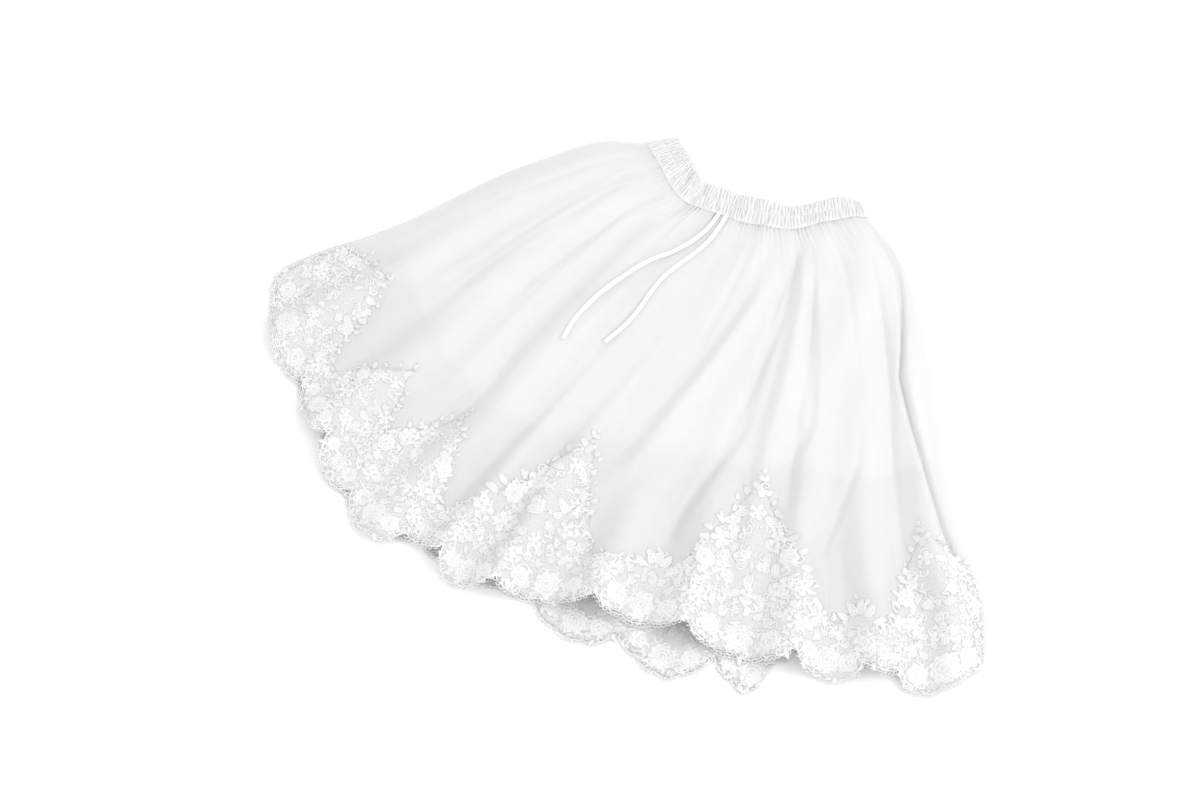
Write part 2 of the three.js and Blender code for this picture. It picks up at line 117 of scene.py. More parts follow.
# %% The fan's outline
WAIST_SEAM = [(-162, 316), (-131, 291), (-101, 268), (-68, 255), (-32, 256), (2, 259),
              (36, 266), (69, 277), (97, 298), (125, 320), (154, 341)]
FRONT_HEM = [(-524, -62), (-451, -173), (-354, -261), (-246, -325), (-126, -343), (-11, -318),
             (104, -293), (219, -281), (333, -261), (445, -236), (523, -159)]
BACK_HEM = [(-524, -62), (-499, -112), (-466, -160), (-422, -210), (-372, -255), (-319, -289),
            (-262, -315), (-198, -325), (-130, -328), (-64, -329), (2, -341), (60, -343),
            (117, -338), (170, -341), (222, -318), (270, -314), (293, -258), (362, -238),
            (434, -224), (482, -196), (523, -159)]
LEFT_SIDE = [(-162, 316), (-221, 291), (-269, 244), (-315, 194), (-355, 139), (-394, 83),
             (-439, 31), (-484, -13), (-524, -62)]
RIGHT_SIDE = [(154, 341), (220, 300), (270, 238), (314, 171), (353, 101), (394, 33),
              (438, -33), (487, -88), (523, -159)]
BAND_TOP = [(-126, 343), (-105, 327), (-87, 312), (-67, 298), (-37, 296), (-7, 298),
            (24, 305), (56, 309), (82, 328), (108, 349), (138, 356)]


def smooth_line(stations, share):
    """The point at a share of a line through evenly numbered stations (Catmull-Rom)."""
    line = np.asarray(stations, float)
    line = np.vstack([2 * line[0] - line[1], line, 2 * line[-1] - line[-2]])
    place = np.clip(share, 0, 1) * (len(stations) - 1)
    first = np.minimum(place.astype(int), len(stations) - 2)
    f = (place - first)[..., None]
    a, b, c, d = (line[first + k] for k in range(4))
    return 0.5 * (2 * b + (c - a) * f + (2 * a - 5 * b + 4 * c - d) * f**2
                  + (3 * b - a - 3 * c + d) * f**3)


def fan(hem, across, along):
    """The flat place of a point of the skirt, in millimetres. Past the hem it goes straight on."""
    inside = np.clip(along, 0, 1)

    def blend(at):
        s, t = across[..., None], at[..., None]
        corners = (np.array(line[end], float) for line in (WAIST_SEAM, hem) for end in (0, -1))
        a, b, c, d = corners
        ends = (1 - t) * ((1 - s) * a + s * b) + t * ((1 - s) * c + s * d)
        return ((1 - t) * smooth_line(WAIST_SEAM, across) + t * smooth_line(hem, across)
                + (1 - s) * smooth_line(LEFT_SIDE, at) + s * smooth_line(RIGHT_SIDE, at) - ends)

    step = 0.02
    flat = blend(inside)
    past = ((along - inside) / step)[..., None]
    return flat + past * (blend(np.ones_like(inside)) - blend(np.full_like(inside, 1 - step)))


def span(along):
    """The fan's width at a share of its length, in millimetres."""
    along = np.clip(along, 0, 1)
    ends = fan(FRONT_HEM, np.ones_like(along), along) - fan(FRONT_HEM, np.zeros_like(along), along)
    return np.linalg.norm(ends, axis=-1)


def skirt_length(across):
    """From the waist seam to the hem, in millimetres."""
    seam = fan(FRONT_HEM, across, np.zeros_like(across))
    hem = fan(FRONT_HEM, across, np.ones_like(across))
    return np.linalg.norm(seam - hem, axis=-1)


hem_points = smooth_line(FRONT_HEM, np.linspace(0, 1, 2001))
HEM_ARC = float(np.linalg.norm(np.diff(hem_points, axis=0), axis=1).sum())
print("hem:", round(HEM_ARC), "mm along the curve")

# %% [markdown]
# The border's lower edge isn't a plain curve: the lace hangs in groups of small scallops, and a
# notch parts each group from the next. The tulle is cut away behind the lace, so it stops a
# little above each notch.

# %% Groups of scallops
# where a group starts as a share of the hem, the notch's height there, the group's drop
FRONT_GROUPS = [(0, 4, 14), (0.13, 18, 2), (0.195, 20, 14), (0.255, 8, 16), (0.33, 14, -14),
                (0.375, 24, 12), (0.444, 8, 10), (0.551, 8, 10), (0.653, 8, 12), (0.775, 14, 11),
                (0.85, 14, -14), (0.89, 16, 17), (1, 2, 0)]
BACK_GROUPS = [(0, 4, 6), (0.12, 14, -8), (0.2, 24, -6), (0.24, 8, 8), (0.36, 8, 8),
               (0.48, 12, 12), (0.58, 18, 10), (0.695, 20, 8), (0.8, 12, 4), (0.88, 14, 0),
               (0.92, 6, 4), (1, 2, 0)]
LOBE_WIDE, LOBE_DEEP = 36, 4
TULLE_SHORT = 6


def group_edge(groups, across, lobes=True):
    """Height of the lace's edge above the hem line, in millimetres."""
    table = np.array(groups, float)
    start = np.clip(np.searchsorted(table[:, 0], across, side="right") - 1, 0, len(table) - 2)
    low, high = table[start], table[start + 1]
    share = np.clip((across - low[..., 0]) / (high[..., 0] - low[..., 0]), 0, 1)
    sag = np.sqrt(np.maximum(np.sin(np.pi * share), 0))
    line = (low[..., 1] * (1 - share) + high[..., 1] * share) * (1 - sag) - low[..., 2] * sag
    count = np.round((high[..., 0] - low[..., 0]) * HEM_ARC / LOBE_WIDE)
    return line - lobes * LOBE_DEEP * np.abs(np.sin(np.pi * count * share)) ** 0.7


def tulle_end(groups, across):
    """The share of the length where the tulle ends under the lace."""
    short = np.maximum(group_edge(groups, across, lobes=False) + TULLE_SHORT, 0)
    return 1 - short / skirt_length(across)


print("scallop groups in front:", len(FRONT_GROUPS) - 1)

# %% [markdown]
# The back lies flat. The front stands over it: it rises from both side edges, is puffed in the
# middle, and carries radial folds that fan out from the gathered waist. Each fold is one row of
# a table, so that a fold can be moved or sharpened without touching the others. A fold's cross
# section is a bell; a power above 1 pinches it to a crease, and a negative rise is a trough.

# %% The front's height
TULLE, GAP, LACE = 1.2, 0.3, 1.4
LACE_START = 0.56
EDGE_ROLL = 34
LIFT_FRONT, LIFT_BACK = (0.46, LACE_START), (LACE_START, 0.62)
RISE_ALONG = ((0, 0.2, 0.5, 0.8, 1), (7, 12, 14, 8, 1.5))

# across at the waist, across at the hem, half width, rise, starts, full, begins to fade, power
FOLDS = [
    (0.06, 0.070, 34, 13, 0.20, 0.70, 1.0, 1.0),
    (0.16, 0.185, 44, 14, 0.05, 0.50, 1.0, 1.0),
    (0.33, 0.305, 40, 11, 0.10, 0.50, 1.0, 1.0),
    (0.40, 0.372, 28, 17, 0.40, 0.85, 1.0, 1.2),
    (0.46, 0.444, 34, 24, 0.45, 0.95, 1.0, 1.0),
    (0.67, 0.455, 34, 9, 0.05, 0.35, 0.6, 1.3),
    (0.57, 0.551, 46, 32, 0.50, 1.00, 1.0, 1.0),
    (0.65, 0.653, 44, 30, 0.50, 1.00, 1.0, 1.0),
    (0.73, 0.700, 30, 9, 0.02, 0.25, 0.7, 1.3),
    (0.79, 0.767, 42, 27, 0.30, 1.00, 1.0, 1.1),
    (0.86, 0.862, 40, 22, 0.30, 1.00, 1.0, 1.1),
    (0.95, 0.955, 34, 16, 0.20, 0.90, 1.0, 1.2),
    (0.27, 0.270, 30, -6, 0.08, 0.40, 0.8, 1.0),
    (0.72, 0.585, 16, -4, 0.02, 0.20, 0.8, 1.5),
    (0.745, 0.760, 16, -3, 0.05, 0.30, 0.6, 1.5),
    (0.91, 0.915, 18, -4, 0.05, 0.30, 0.8, 1.5),
]
FADE = 0.2


def ramp(low, high, value):
    """0 below low, 1 above high, eased between."""
    share = np.clip((value - low) / (high - low), 0, 1)
    return share * share * (3 - 2 * share)


def lift(rows, along):
    """How far the lace on its outside holds a panel up, from where the lace starts."""
    return (LACE + GAP) * np.clip((along - rows[0]) / (rows[1] - rows[0]), 0, 1)


def roll(across, along):
    """0 at a side edge, 1 past the rounded roll."""
    inset = np.minimum(across, 1 - across) * span(along)
    return 1 - (1 - np.clip(inset / EDGE_ROLL, 0, 1)) ** 2


def fold_rise(across, along, folds):
    """What the table of folds adds to the front's height, in millimetres."""
    at = np.clip(along, 0, 1)
    width = span(at)
    total = np.zeros_like(at)
    for waist, hem, half, rise, starts, full, fades, power in folds:
        off = np.abs(across - (waist + (hem - waist) * at)) * width / (half * (0.45 + 0.55 * at))
        bell = np.where(off < 1, 0.5 + 0.5 * np.cos(np.pi * np.minimum(off, 1)), 0) ** power
        total += rise * bell * ramp(starts, full, at) * (1 - ramp(fades, fades + FADE, at))
    return total


# Creases wander across the fan, and fine streaks lie between them.
# shares along, shares across, half width, rise
CREASES = [
    ((0.06, 0.22, 0.40, 0.53, 0.66, 0.87), (0.719, 0.665, 0.666, 0.665, 0.634, 0.592), 11, -4),
    ((0.15, 0.29, 0.49, 0.57, 0.67), (0.736, 0.756, 0.773, 0.755, 0.757), 12, -4),
    ((0.23, 0.37, 0.54), (0.627, 0.590, 0.547), 16, 3),
    ((0.04, 0.23, 0.38, 0.53, 0.80), (0.985, 0.962, 0.935, 0.955, 0.985), 7, -10),
    ((0.55, 0.79), (0.856, 0.795), 10, -4),
    ((0.32, 0.61), (0.915, 0.900), 18, -3),
    ((0.10, 0.60), (0.165, 0.165), 24, 4),
    ((0.14, 0.34, 0.48, 0.64), (0.261, 0.259, 0.253, 0.291), 20, -4),
    ((0.06, 0.33, 0.64), (0.124, 0.166, 0.173), 13, -3),
    ((0.10, 0.60), (0.100, 0.095), 15, -3),
    ((0.00, 0.09), (0.270, 0.300), 22, -7),
    ((0.08, 0.45), (0.065, 0.050), 8, -2),
    ((0.12, 0.62), (0.140, 0.132), 7, 2),
    ((0.05, 0.52), (0.215, 0.205), 8, -2),
    ((0.20, 0.70), (0.232, 0.240), 9, 2),
    ((0.12, 0.48), (0.330, 0.325), 9, -2),
    ((0.30, 0.72), (0.395, 0.360), 10, -2),
    ((0.42, 0.74), (0.470, 0.430), 12, 2),
    ((0.06, 0.40), (0.565, 0.540), 9, -2),
    ((0.10, 0.36), (0.830, 0.850), 10, -2),
]


def crease_rise(across, along):
    """What the creases add to the front's height, in millimetres."""
    at = np.clip(along, 0, 1)
    width = span(at)
    total = np.zeros_like(at)
    for alongs, acrosses, half, rise in CREASES:
        off = np.abs(across - np.interp(at, alongs, acrosses)) * width / half
        bell = np.where(off < 1, 0.5 + 0.5 * np.cos(np.pi * np.minimum(off, 1)), 0)
        begins = ramp(alongs[0] - 0.1, alongs[0] + 0.05, at)
        fades = ramp(alongs[-1] - 0.1, alongs[-1] + 0.08, at)
        total += rise * bell * (begins * (1 - fades))
    return total


# Fine gathers leave the band: each has its own place, strength and reach. Still finer puckers
# stand right at the seam.
GATHERS, GATHER_HIGH = 62, 1.4
PUCKERS, PUCKER_HIGH, PUCKER_REACH = 78, 1.3, 0.05
gather_phase = np.cumsum(random.uniform(0.75, 1.25, GATHERS + 1))
gather_phase = (gather_phase - gather_phase[0]) / (gather_phase[-1] - gather_phase[0])
gather_size = random.uniform(0.5, 1.25, GATHERS)
gather_reach = random.uniform(0.04, 0.22, GATHERS)


def gather_wave(across):
    """Which gather a place belongs to, and how high it stands there, from 0 to 1."""
    index = np.clip(np.searchsorted(gather_phase, across, side="right") - 1, 0, GATHERS - 1)
    share = (across - gather_phase[index]) / (gather_phase[index + 1] - gather_phase[index])
    return index, np.sin(np.pi * np.clip(share, 0, 1)) ** 0.8


def gather_rise(across, along):
    index, wave = gather_wave(across)
    fade = np.clip(1 - along / gather_reach[index], 0, 1) ** 1.3
    uneven = 1 + 0.5 * np.sin(47 * across)
    pucker = np.sin(np.pi * PUCKERS * across + 3 * np.sin(14 * across)) ** 2 * uneven
    at_seam = np.clip(1 - along / PUCKER_REACH, 0, 1)
    return GATHER_HIGH * gather_size[index] * wave * fade + PUCKER_HIGH * pucker * at_seam


# Slow waves, so that no stretch of cloth is dead smooth.
RIPPLES = [(random.uniform(2, 9), random.uniform(0.6, 4), random.uniform(0, 6.28),
            random.uniform(0.25, 0.8)) for _ in range(14)]


def ripple(across, along):
    total = np.zeros_like(across)
    for turns, rows, phase, size in RIPPLES:
        total += size * np.sin(2 * np.pi * (turns * across + rows * along) + phase)
    return total


LINING_ROOM = 3.2  # the least room under the front where the lining lies, in millimetres


def front_inner(across, along):
    """The front's inner face: its flat place and its level, in millimetres."""
    rise = (np.interp(np.clip(along, 0, 1), *RISE_ALONG) + fold_rise(across, along, FOLDS)
            + crease_rise(across, along) + gather_rise(across, along) + ripple(across, along))
    least = LINING_ROOM * (1 - ramp(0.65, 0.8, along))
    level = lift(LIFT_FRONT, along) + TULLE + GAP + roll(across, along) * np.maximum(rise, least)
    return np.concatenate([fan(FRONT_HEM, across, along), level[..., None]], axis=-1)


def front_place(across, along, off):
    """A point that stands off the front's inner face, square to the cloth, in metres."""
    step = 0.002
    side = np.clip(across + step, 0, 1), np.clip(across - step, 0, 1)
    dx = front_inner(side[0], along) - front_inner(side[1], along)
    dy = front_inner(across, np.maximum(along - step, 0)) - front_inner(across, along + step)
    normal = np.cross(dx, dy)
    normal /= np.linalg.norm(normal, axis=-1, keepdims=True)
    place = front_inner(across, along) + normal * np.asarray(off)[..., None]
    place[..., :2] -= FOOTPRINT_MIDDLE
    return place * MM


def back_place(across, along, off):
    """A point that stands off the table under the back, in metres."""
    level = lift(LIFT_BACK, along) + off
    flat = fan(BACK_HEM, across, along) - FOOTPRINT_MIDDLE
    return np.concatenate([flat, level[..., None]], axis=-1) * MM


check = front_inner(np.linspace(0, 1, 201), np.full(201, 0.95))
print("front stands up to", round(float(check[:, 2].max()), 1), "mm near the hem")

# %% [markdown]
# Cloth panels start as one flat grid from bmesh, whose corners are then laid on the form. The
# grid keeps a UV map in metres of cloth, so that threads keep their size where the fan is wide.
# Solidify gives the sheet its thickness, and smooth shading hides the grid.

# %% Cloth sheets from a grid
HEM_LENGTH, SKIRT_LENGTH = 1.25, 0.6  # metres of cloth at the hem and down the front


def move_vertices(mesh, places):
    mesh.vertices.foreach_set("co", np.ascontiguousarray(places, np.float32).ravel())
    mesh.update()


def cloth_sheet(name, columns, rows, place, width=HEM_LENGTH, length=SKIRT_LENGTH, ends=(0, 1)):
    """A grid laid by place(across, along), with a UV map of width by length metres."""
    bm = bmesh.new()
    bm.loops.layers.uv.new("UVMap")
    bmesh.ops.create_grid(bm, x_segments=columns, y_segments=rows, size=0.5, calc_uvs=True)
    mesh = bpy.data.meshes.new(name)
    bm.to_mesh(mesh)
    bm.free()
    flat = np.zeros(len(mesh.vertices) * 3, np.float32)
    mesh.vertices.foreach_get("co", flat)
    flat = flat.reshape(-1, 3).astype(float)
    across, share = flat[:, 0] + 0.5, 0.5 - flat[:, 1]
    along = ends[0] + share * (ends[1] - ends[0])
    move_vertices(mesh, place(across, along))
    uv = np.zeros(len(mesh.loops) * 2, np.float32)
    layer = mesh.uv_layers.active.data
    layer.foreach_get("uv", uv)
    uv = uv.reshape(-1, 2) * (width, length)
    layer.foreach_set("uv", uv.astype(np.float32).ravel())
    mesh.shade_smooth()
    sheet = bpy.data.objects.new(name, mesh)
    bpy.context.scene.collection.objects.link(sheet)
    return sheet


def thicken(piece, thickness, offset=1.0):
    """Gives a sheet its wall. The wall grows outwards from the grid."""
    wall = piece.modifiers.new("wall", "SOLIDIFY")
    wall.thickness, wall.offset = thickness * MM, offset
    wall.use_quality_normals = True
    return piece


def join_skirt(piece, slot, *nodes):
    """The piece rides on the skirt and stands for its CAD nodes, whose parts it hides. Its slot is
    not used.
    """
    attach(piece, "root")
    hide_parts(*nodes)
    print(f"{piece.name}: {len(piece.data.vertices)} corners, stands for {', '.join(nodes)}")
    return piece

# %% [markdown]
# Knitted cotton tape makes the drawstring. Its two free ends leave the casing, lie on the front
# and end in bare tips. A curve with a flat bevel could follow the route, but its width would
# twist. So a grid is rolled into a flat tube along the CAD part's route: its width lies down on
# the cloth, and its tips are closed.

# %% Drawstring routes
# millimetres, from the casing to the tip
ROUTES = {
    "left": [
        (-26.4, 258, 14.4), (-29, 238, 14.5), (-34, 220, 15.9), (-42.1, 202, 17.1),
        (-51.5, 187, 17.3), (-62.4, 173, 17), (-74, 160, 18.4), (-84.9, 146, 19.6),
        (-93.9, 131, 20.6), (-102.1, 115, 22.3), (-110, 99, 23.8), (-117.3, 83, 25),
        (-123.5, 66, 25.9), (-128.7, 49, 26.7), (-132.5, 32, 27.6), (-134.3, 15, 28.6),
        (-134.6, -3, 29.4)],
    "right": [
        (-16.6, 258, 14.5), (-17.6, 240, 15.1), (-19.9, 223, 16.1), (-23.3, 208, 16.9),
        (-28.7, 194, 16.9), (-35.4, 180, 16.9), (-42.5, 166, 17.6), (-49, 152, 17.9),
        (-54.3, 138, 18.1), (-58.2, 123, 18.1), (-60.8, 108, 18.2), (-62.7, 93, 18.2),
        (-65, 78, 18.3), (-68.3, 63, 18.6), (-73.1, 48, 18.9), (-78.9, 34, 19.3),
        (-84.9, 20, 19.6)],
}
TAPE_WIDTH, TAPE_THICK = 5.8, 1.9
TAPE_AROUND, TAPE_STEPS = 16, 220


def tube_grid(name, around, steps):
    """A grid whose columns meet. Its corners come back as shares: around and along."""
    bm = bmesh.new()
    bm.loops.layers.uv.new("UVMap")
    bmesh.ops.create_grid(bm, x_segments=around, y_segments=steps, size=0.5, calc_uvs=True)
    shares = np.array([(v.co.x + 0.5, v.co.y + 0.5) for v in bm.verts])
    return bm, shares


def tape_end(side):
    """One free end of the drawstring: its tube, attached to the skirt's body."""
    route = np.array(ROUTES[side], float)
    route[:, :2] -= FOOTPRINT_MIDDLE
    bm, shares = tube_grid(side, TAPE_AROUND, TAPE_STEPS)
    path = smooth_line(route, np.linspace(0, 1, TAPE_STEPS + 1))
    centre = smooth_line(route, shares[:, 1])
    ahead = smooth_line(route, np.minimum(shares[:, 1] + 0.01, 1))
    behind = smooth_line(route, np.maximum(shares[:, 1] - 0.01, 0))
    tangent = (ahead - behind) / np.linalg.norm(ahead - behind, axis=1, keepdims=True)
    flat_side = np.cross(tangent, (0, 0, 1))
    flat_side /= np.linalg.norm(flat_side, axis=1, keepdims=True)
    top = np.cross(flat_side, tangent)
    turn = 2 * np.pi * shares[:, 0]
    wide = np.sign(np.cos(turn)) * np.abs(np.cos(turn)) ** 0.6 * TAPE_WIDTH / 2
    high = np.sign(np.sin(turn)) * np.abs(np.sin(turn)) ** 0.8 * TAPE_THICK / 2
    dish = 0.35 * (np.abs(wide) / (TAPE_WIDTH / 2)) ** 2 * (high > 0)  # a raised selvedge
    place = centre + flat_side * wide[:, None] + top * (high + dish)[:, None]
    for vertex, co in zip(bm.verts, place * MM):
        vertex.co = co
    bmesh.ops.remove_doubles(bm, verts=bm.verts, dist=1e-6)
    bmesh.ops.holes_fill(bm, edges=[e for e in bm.edges if e.is_boundary], sides=TAPE_AROUND)
    bmesh.ops.recalc_face_normals(bm, faces=bm.faces)
    mesh = bpy.data.meshes.new(f"tape_{side}")
    bm.to_mesh(mesh)
    bm.free()
    mesh.shade_smooth()
    tape = bpy.data.objects.new(f"tape_{side}", mesh)
    bpy.context.scene.collection.objects.link(tape)
    join_skirt(tape, "cord", f"drawstring_{side}")
    return tape


tapes = [tape_end(side) for side in ROUTES]

# %% [markdown]
# The tulle is a single layer that lets light through. Front and back are cut wide at the hem
# and drawn together at the waist. A cloth simulation could drape them, but tables of folds can
# be moved one by one to where the laid skirt has them. The back is nearly hidden and needs few
# folds. The wall is thinner than the CAD wall and lies inside it.

# %% Tulle panels
FRONT_GRID = (320, 140)
SHEER = 0.5  # millimetres: thicker than real net, so that its wall shades well
BACK_OFF, BACK_WAVES, BACK_WAVE = 0.35, 70, 0.3  # the back's level and its shallow waves


def front_sheet(across, row):
    along = np.minimum(row, tulle_end(FRONT_GROUPS, across))
    return front_place(across, along, np.full_like(across, TULLE - SHEER))


def back_sheet(across, row):
    along = np.minimum(row, tulle_end(BACK_GROUPS, across))
    return back_place(across, along, BACK_OFF + BACK_WAVE * np.sin(BACK_WAVES * across) ** 2)


tulle_front = thicken(cloth_sheet("tulle_front", *FRONT_GRID, front_sheet), SHEER)
tulle_back = thicken(cloth_sheet("tulle_back", 120, 60, back_sheet), SHEER)
join_skirt(tulle_front, "tulle", "skirt_front")
join_skirt(tulle_back, "tulle", "skirt_back")

# %% [markdown]
# A short lining of fine opaque jersey hangs inside. It shows through the front as a faint step
# in tone: its hem runs across, longer on the left, and its side edges run down inside the
# skirt's sides. It lies flat, so it is a plain grid at one level with a thin wall.

# %% Lining panels
LINING_INSET = 14
LINING_END = (0.68, 0.57)
LINING_THICK = 0.6
LINING_CUT = (0.80, 0.40)  # metres at its hem and down its longer side


def lining_at(level):
    def place(across, row):
        end = LINING_END[0] + (LINING_END[1] - LINING_END[0]) * across
        along = row * end
        inset = LINING_INSET / span(along)
        flat = fan(FRONT_HEM, inset + (1 - 2 * inset) * across, along) - FOOTPRINT_MIDDLE
        high = lift(LIFT_FRONT, along) + level
        return np.concatenate([flat, high[..., None]], axis=-1) * MM
    return place


linings = []
for name, level in (("lining_back", TULLE + GAP), ("lining_front", TULLE + 1 + 2 * GAP)):
    panel = cloth_sheet(f"{name}_panel", 60, 60, lining_at(level), *LINING_CUT)
    thicken(panel, LINING_THICK)
    linings.append(join_skirt(panel, "lining", name))

# %% [markdown]
# The casing is a tube of tulle that the drawstring runs through. Two shirred rows puff up, with a
# stitched line between them, and dozens of fine gathers stand across both. No two gathers are
# alike, so each gets its own width and height from a seeded generator. The casing dips where
# the laid skirt's waist bends, and a few pinches cross it there.

# %% Gathered casing
BAND = 2.2  # millimetres of gathered back casing under the front one
BAND_WALL = 0.5
BAND_RAISE = 1.2
BAND_HOLLOW = {"seam": 5.8, "top": 3.6}
BAND_PLEATS, PLEAT_HIGH, CRINKLE = 80, 3.8, 0.5
BAND_GRID = (640, 48)
BACK_PLEAT = 1.6
CASING_CUT = (0.50, 0.042)  # metres, before the drawstring gathers it
BAND_DIP = (0.27, 0.07, 0.6)  # where the laid casing caves in: place, half width and share
# pinches of the laid casing: place at the seam and at the top, half width in mm, depth in mm
PINCHES = [(0.17, 0.19, 5, 2.5), (0.235, 0.215, 6, 4.5), (0.262, 0.285, 7, 5), (0.30, 0.315, 6, 4),
           (0.345, 0.330, 5, 3), (0.40, 0.385, 4, 3), (0.455, 0.47, 5, 3), (0.60, 0.62, 4, 2)]
# the two puffed rows: share of the way up the casing, share of the full puff there
PUFF_ROWS = ((0, 0.07, 0.25, 0.44, 0.50, 0.56, 0.76, 0.93, 1),
             (0.15, 0.7, 1, 0.7, 0.3, 0.7, 1, 0.8, 0.3))

pleat_edge = np.cumsum(random.uniform(0.6, 1.4, BAND_PLEATS + 1))
pleat_edge = (pleat_edge - pleat_edge[0]) / (pleat_edge[-1] - pleat_edge[0])
pleat_size = random.uniform(0.55, 1.1, (2, BAND_PLEATS))
pleat_lean = random.uniform(-0.006, 0.006, (2, BAND_PLEATS))


def band_plan(across, up):
    u = up[..., None]
    return (1 - u) * smooth_line(WAIST_SEAM, across) + u * smooth_line(BAND_TOP, across)


def band_puff(across, up):
    """How far the shirred cloth puffs out, in millimetres. Each row has its own gathers."""
    row = (up > 0.5).astype(int)
    index = np.clip(np.searchsorted(pleat_edge, across, side="right") - 1, 0, BAND_PLEATS - 1)
    moved = across + pleat_lean[row, index] * (up - 0.5 * row - 0.25) * 4
    index = np.clip(np.searchsorted(pleat_edge, moved, side="right") - 1, 0, BAND_PLEATS - 1)
    share = (moved - pleat_edge[index]) / (pleat_edge[index + 1] - pleat_edge[index])
    crest = np.sin(np.pi * np.clip(share, 0, 1)) ** 0.6
    bent = 310 * across + 9 * np.sin(23 * up + 40 * across)
    crinkle = CRINKLE * np.sin(bent) * np.sin(17 * up + 60 * across)
    pleat = 0.4 + PLEAT_HIGH * pleat_size[row, index] * crest
    return np.interp(up, *PUFF_ROWS) * (pleat + crinkle)


def pinch(across, up):
    """How deep the pinches cut into the laid casing, in millimetres."""
    width = span(np.zeros_like(across))
    total = np.zeros_like(across)
    for seam, top, half, depth in PINCHES:
        bend = 0.006 * np.sin(9 * up + 50 * seam)
        off = np.abs(across - (seam + (top - seam) * up + bend)) * width / half
        total += depth * np.exp(-off**2)
    return total


def band_place(across, share):
    up = 1 - share
    flat = band_plan(across, up) - FOOTPRINT_MIDDLE
    inset = np.minimum(across, 1 - across) * span(np.zeros_like(across))
    edge = 1 - (1 - np.clip(inset / EDGE_ROLL, 0, 1)) ** 2
    place, half, depth = BAND_DIP
    dip = 1 - depth * np.exp(-((across - place) / half) ** 2)
    hollow = (BAND_HOLLOW["seam"] + (BAND_HOLLOW["top"] - BAND_HOLLOW["seam"]) * up) * dip
    level = BAND + GAP + edge * hollow + band_puff(across, up) + BAND_RAISE - pinch(across, up)
    level = np.maximum(level, BAND + GAP + 0.2)
    seam = front_inner(across, np.full_like(across, 0.004))[..., 2] + TULLE - BAND_WALL
    level = seam + (level - seam) * ramp(-0.02, 0.12, up)
    return np.concatenate([flat, level[..., None]], axis=-1) * MM


def band_back_place(across, share):
    up = 0.01 + 0.93 * (1 - share)
    flat = band_plan(across, up) - FOOTPRINT_MIDDLE
    level = 0.2 + BACK_PLEAT * np.sin(np.pi * BAND_PLEATS * across) ** 2
    return np.concatenate([flat, level[..., None]], axis=-1) * MM


casing_front = thicken(cloth_sheet("casing_front", *BAND_GRID, band_place, *CASING_CUT), BAND_WALL)
casing_back = thicken(cloth_sheet("casing_back", 640, 6, band_back_place, *CASING_CUT), 0.4)
join_skirt(casing_front, "band", "waistband_front")
join_skirt(casing_back, "band", "waistband_back")

# %% [markdown]
# The skirt lies on a plain pale table under one large soft light and a bright room. The large
# light stands low on the right, so that each fold has a bright side and a grey side. A weak
# light near the table lifts the shade under the raised hem.

# %% Table and light
TABLE_SIZE = 12.0


def lay_table():
    bm = bmesh.new()
    bmesh.ops.create_grid(bm, x_segments=1, y_segments=1, size=TABLE_SIZE / 2)
    bmesh.ops.translate(bm, verts=bm.verts, vec=(0, 0, -0.0006))
    mesh = bpy.data.meshes.new("table")
    bm.to_mesh(mesh)
    bm.free()
    table = bpy.data.objects.new("table", mesh)
    bpy.context.scene.collection.objects.link(table)
    return table


def area_light(name, place, target, size, power):
    data = bpy.data.lights.new(name, "AREA")
    data.shape, data.size, data.energy = "DISK", size, power
    lamp = bpy.data.objects.new(name, data)
    lamp.location = place
    lamp.rotation_euler = (Vector(target) - Vector(place)).to_track_quat("-Z", "Y").to_euler()
    bpy.context.scene.collection.objects.link(lamp)
    return lamp


table = lay_table()
card = bpy.data.materials.new("matt_card")
card.use_nodes = True
card.node_tree.nodes["Principled BSDF"].inputs["Base Color"].default_value = linear("#fbfbfa")
card.node_tree.nodes["Principled BSDF"].inputs["Roughness"].default_value = 0.95
card.node_tree.nodes["Principled BSDF"].inputs["Specular IOR Level"].default_value = 0.1
table.data.materials.append(card)
area_light("window", (2.4, 1.0, 2.2), (0, 0, 0), 1.6, 32)
area_light("low fill", (-0.3, -2.4, 0.5), (0, -0.3, 0), 1.4, 7)
world = bpy.data.worlds.new("room")
bpy.context.scene.world = world
world.use_nodes = True
world.node_tree.nodes["Background"].inputs["Color"].default_value = linear("#fdfcfc")
world.node_tree.nodes["Background"].inputs["Strength"].default_value = 1.16
bpy.context.scene.view_settings.view_transform = "Standard"

# %% [markdown]
# Nylon tulle is a knitted net of hexagons, so fine that the eye sees a veil and now and then a
# grain. Real holes would need millions of faces, so the veil is a diffuse white, part of which
# glows with light from behind, mixed with plain transparency. The net is drawn from the sheet's
# UV map, at about 2 mm instead of 1 mm, because the real one is too fine to show.

# %% Nylon tulle
NET_PITCH = 2.2  # millimetres, drawn twice as coarse as real net


def new_material(name):
    material = bpy.data.materials.new(name)
    material.use_nodes = True
    tree = material.node_tree
    tree.nodes.clear()
    return material, tree, tree.nodes.new("ShaderNodeOutputMaterial")


def let_light_through(tree, shader, colour, share):
    """Thread scatters some light to its far side, so cloth glows where it is lit from behind."""
    through = add_node(tree, "ShaderNodeBsdfTranslucent", Color=linear(colour))
    return add_node(tree, "ShaderNodeMixShader", [(shader.outputs[0], 1), (through.outputs[0], 2)],
                    Fac=share)


